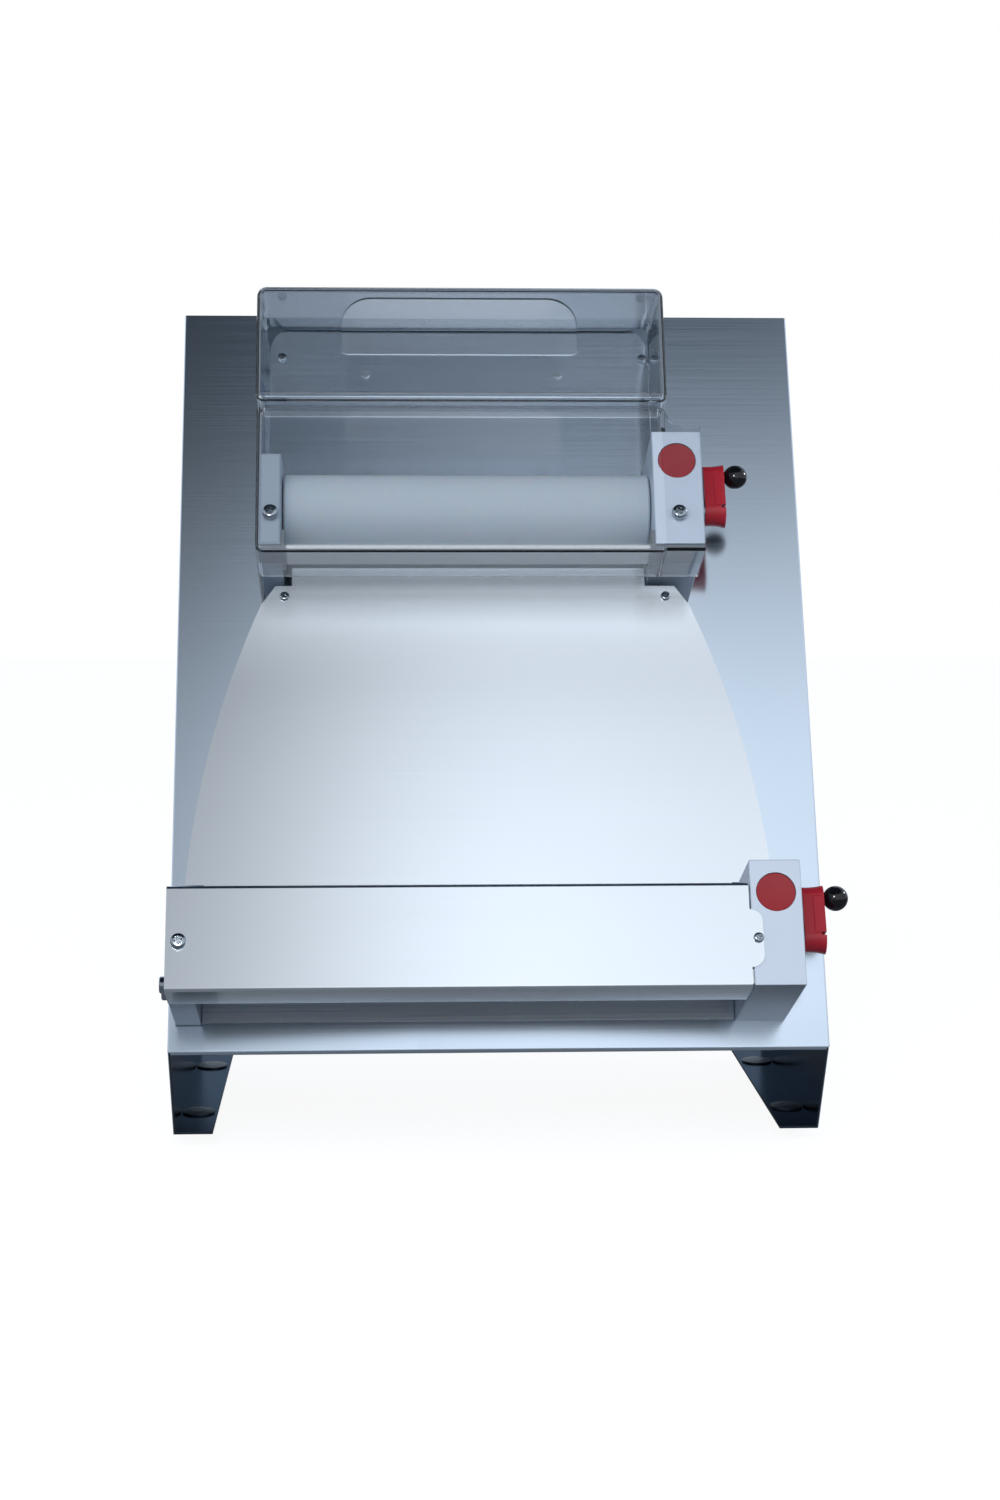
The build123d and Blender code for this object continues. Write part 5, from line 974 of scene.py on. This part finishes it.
# %% Hood trims and wing
BELOW, ABOVE, BEHIND, PAST, SLIVER = 380.0, 660.0, -2.0, 1.0, 0.1
FLANGE_CUT, FOOT_CUT, TOP_CUT, FOOT_REACH = 392.0, 480.0, 600.0, 8.0
WING_LAP, WING_FILLET, ROUND_DEPTH = 2.0, 15.0, 20.0
LEFT_IN, WALL_IN = HOOD_LEFT + ACRYLIC + SLIVER, HOOD_RIGHT - ACRYLIC - SLIVER
WALL_OUT, WING_UNDER = HOOD_RIGHT + PAST, LOW_FACE - ACRYLIC
TRIMS = (("under wing", (WALL_IN, BELOW, BEHIND), (WALL_OUT, WING_TOP, WING_UNDER)),
         ("right foot", (WALL_IN - FOOT_REACH, FOOT_CUT, BEHIND), (WALL_OUT, ABOVE, RIGHT_FOOT)),
         ("top end", (LEFT_IN, TOP_CUT, BEHIND), (WALL_IN, ABOVE, TOP_END)),
         ("flange end", (LEFT_IN, BELOW, BEHIND), (WALL_OUT, FLANGE_CUT, FLANGE_END)))

for name, low, high in TRIMS:
    combine(hood, block(name, low, high))
wing = block("wing", (WALL_IN - WING_LAP, HOOD_LOW, WING_UNDER), (WING_RIGHT, WING_TOP, LOW_FACE))
bpy.ops.mesh.select_all(action="SELECT")
bpy.ops.mesh.bisect(plane_co=mm(0, HOOD_LOW + ACRYLIC, 0), plane_no=(0, 1, 0))
pick(wing, "FACE", lambda at, way: looks_in(at, way) and at.y < HOOD_LOW + ACRYLIC)
extrude(0, 0, FLANGE_END - WING_UNDER)
pick(wing, "EDGE", lambda at, way: (abs(way.x) > STRAIGHT and at.z > LOW_FACE - TOUCH
                                    and at.y < HOOD_LOW + TOUCH))
round_edges(BEND, segments=4)
combine(hood, wing, "UNION")
fillet = block("fillet", (WALL_IN, WING_TOP - PAST, WING_UNDER),
               (HOOD_RIGHT + WING_FILLET, WING_TOP + WING_FILLET, LOW_FACE))
only(fillet)
bpy.ops.mesh.primitive_cylinder_add(vertices=96, radius=WING_FILLET * MM, depth=ROUND_DEPTH * MM,
                                    location=mm(HOOD_RIGHT + WING_FILLET, WING_TOP + WING_FILLET, LOW_FACE))
combine(fillet, open_up("round"))
combine(hood, fillet, "UNION")
print("hood with its wing has", len(hood.data.polygons), "faces")

# %% [markdown]
# The feed window has wide upper corners and tight lower ones. The screw holes and two small vents are
# drilled, and the vents are countersunk. A last fine bevel takes the sharpness off every sawn edge, so
# that each edge catches light. Light passes the clear sheet almost unhindered, so the hood casts no
# shadow and takes no part in the soft light between the pieces.

# %% Hood openings
WINDOW_LOW, WINDOW_HIGH = (-125.6, 549.0, 120.0), (67.0, 601.0, 160.0)
WINDOW_RADII = ((5.0, -1), (24.0, 1))
VENTS, VENT_BORE, SCREW_BORE = ((-106.0, 530.0), (50.0, 530.0)), 4.0, 6.2
DRILL_LENGTH, DRILL_RISE = 60.0, 10.0
SINK_LOW, SINK_HIGH, SINK_TALL, SINK_DEEP = 1.8, 3.6, 1.8, 0.8

window = block("window", WINDOW_LOW, WINDOW_HIGH)
halfway = (WINDOW_LOW[1] + WINDOW_HIGH[1]) / 2
for radius, side in WINDOW_RADII:
    pick(window, "EDGE", lambda at, way: abs(way.z) > STRAIGHT and side * (at.y - halfway) > 0)
    round_edges(radius, segments=10)
combine(hood, window)
holes = [(x, y, VENT_BORE) for x, y in VENTS] + [(x, y, SCREW_BORE) for x, y, _ in PAN_SEATS[:2]]
for x, y, bore in holes:
    bpy.ops.mesh.primitive_cylinder_add(vertices=32, radius=bore / 2 * MM, depth=DRILL_LENGTH * MM,
                                        location=mm(x, y, LOW_FACE + DRILL_RISE))
    combine(hood, open_up("drill"))
for x, y in VENTS:
    bpy.ops.mesh.primitive_cone_add(vertices=32, radius1=SINK_LOW * MM, radius2=SINK_HIGH * MM,
                                    depth=SINK_TALL * MM, location=mm(x, y, HIGH_FACE - SINK_DEEP))
    combine(hood, open_up("countersink"))
soften(hood, radius=0.3, segments=2, sharp=40)
seat(hood, "frame", "clear_plastic", "hood", acrylic, flat=8)
hood.visible_shadow = False
hood.visible_diffuse = False
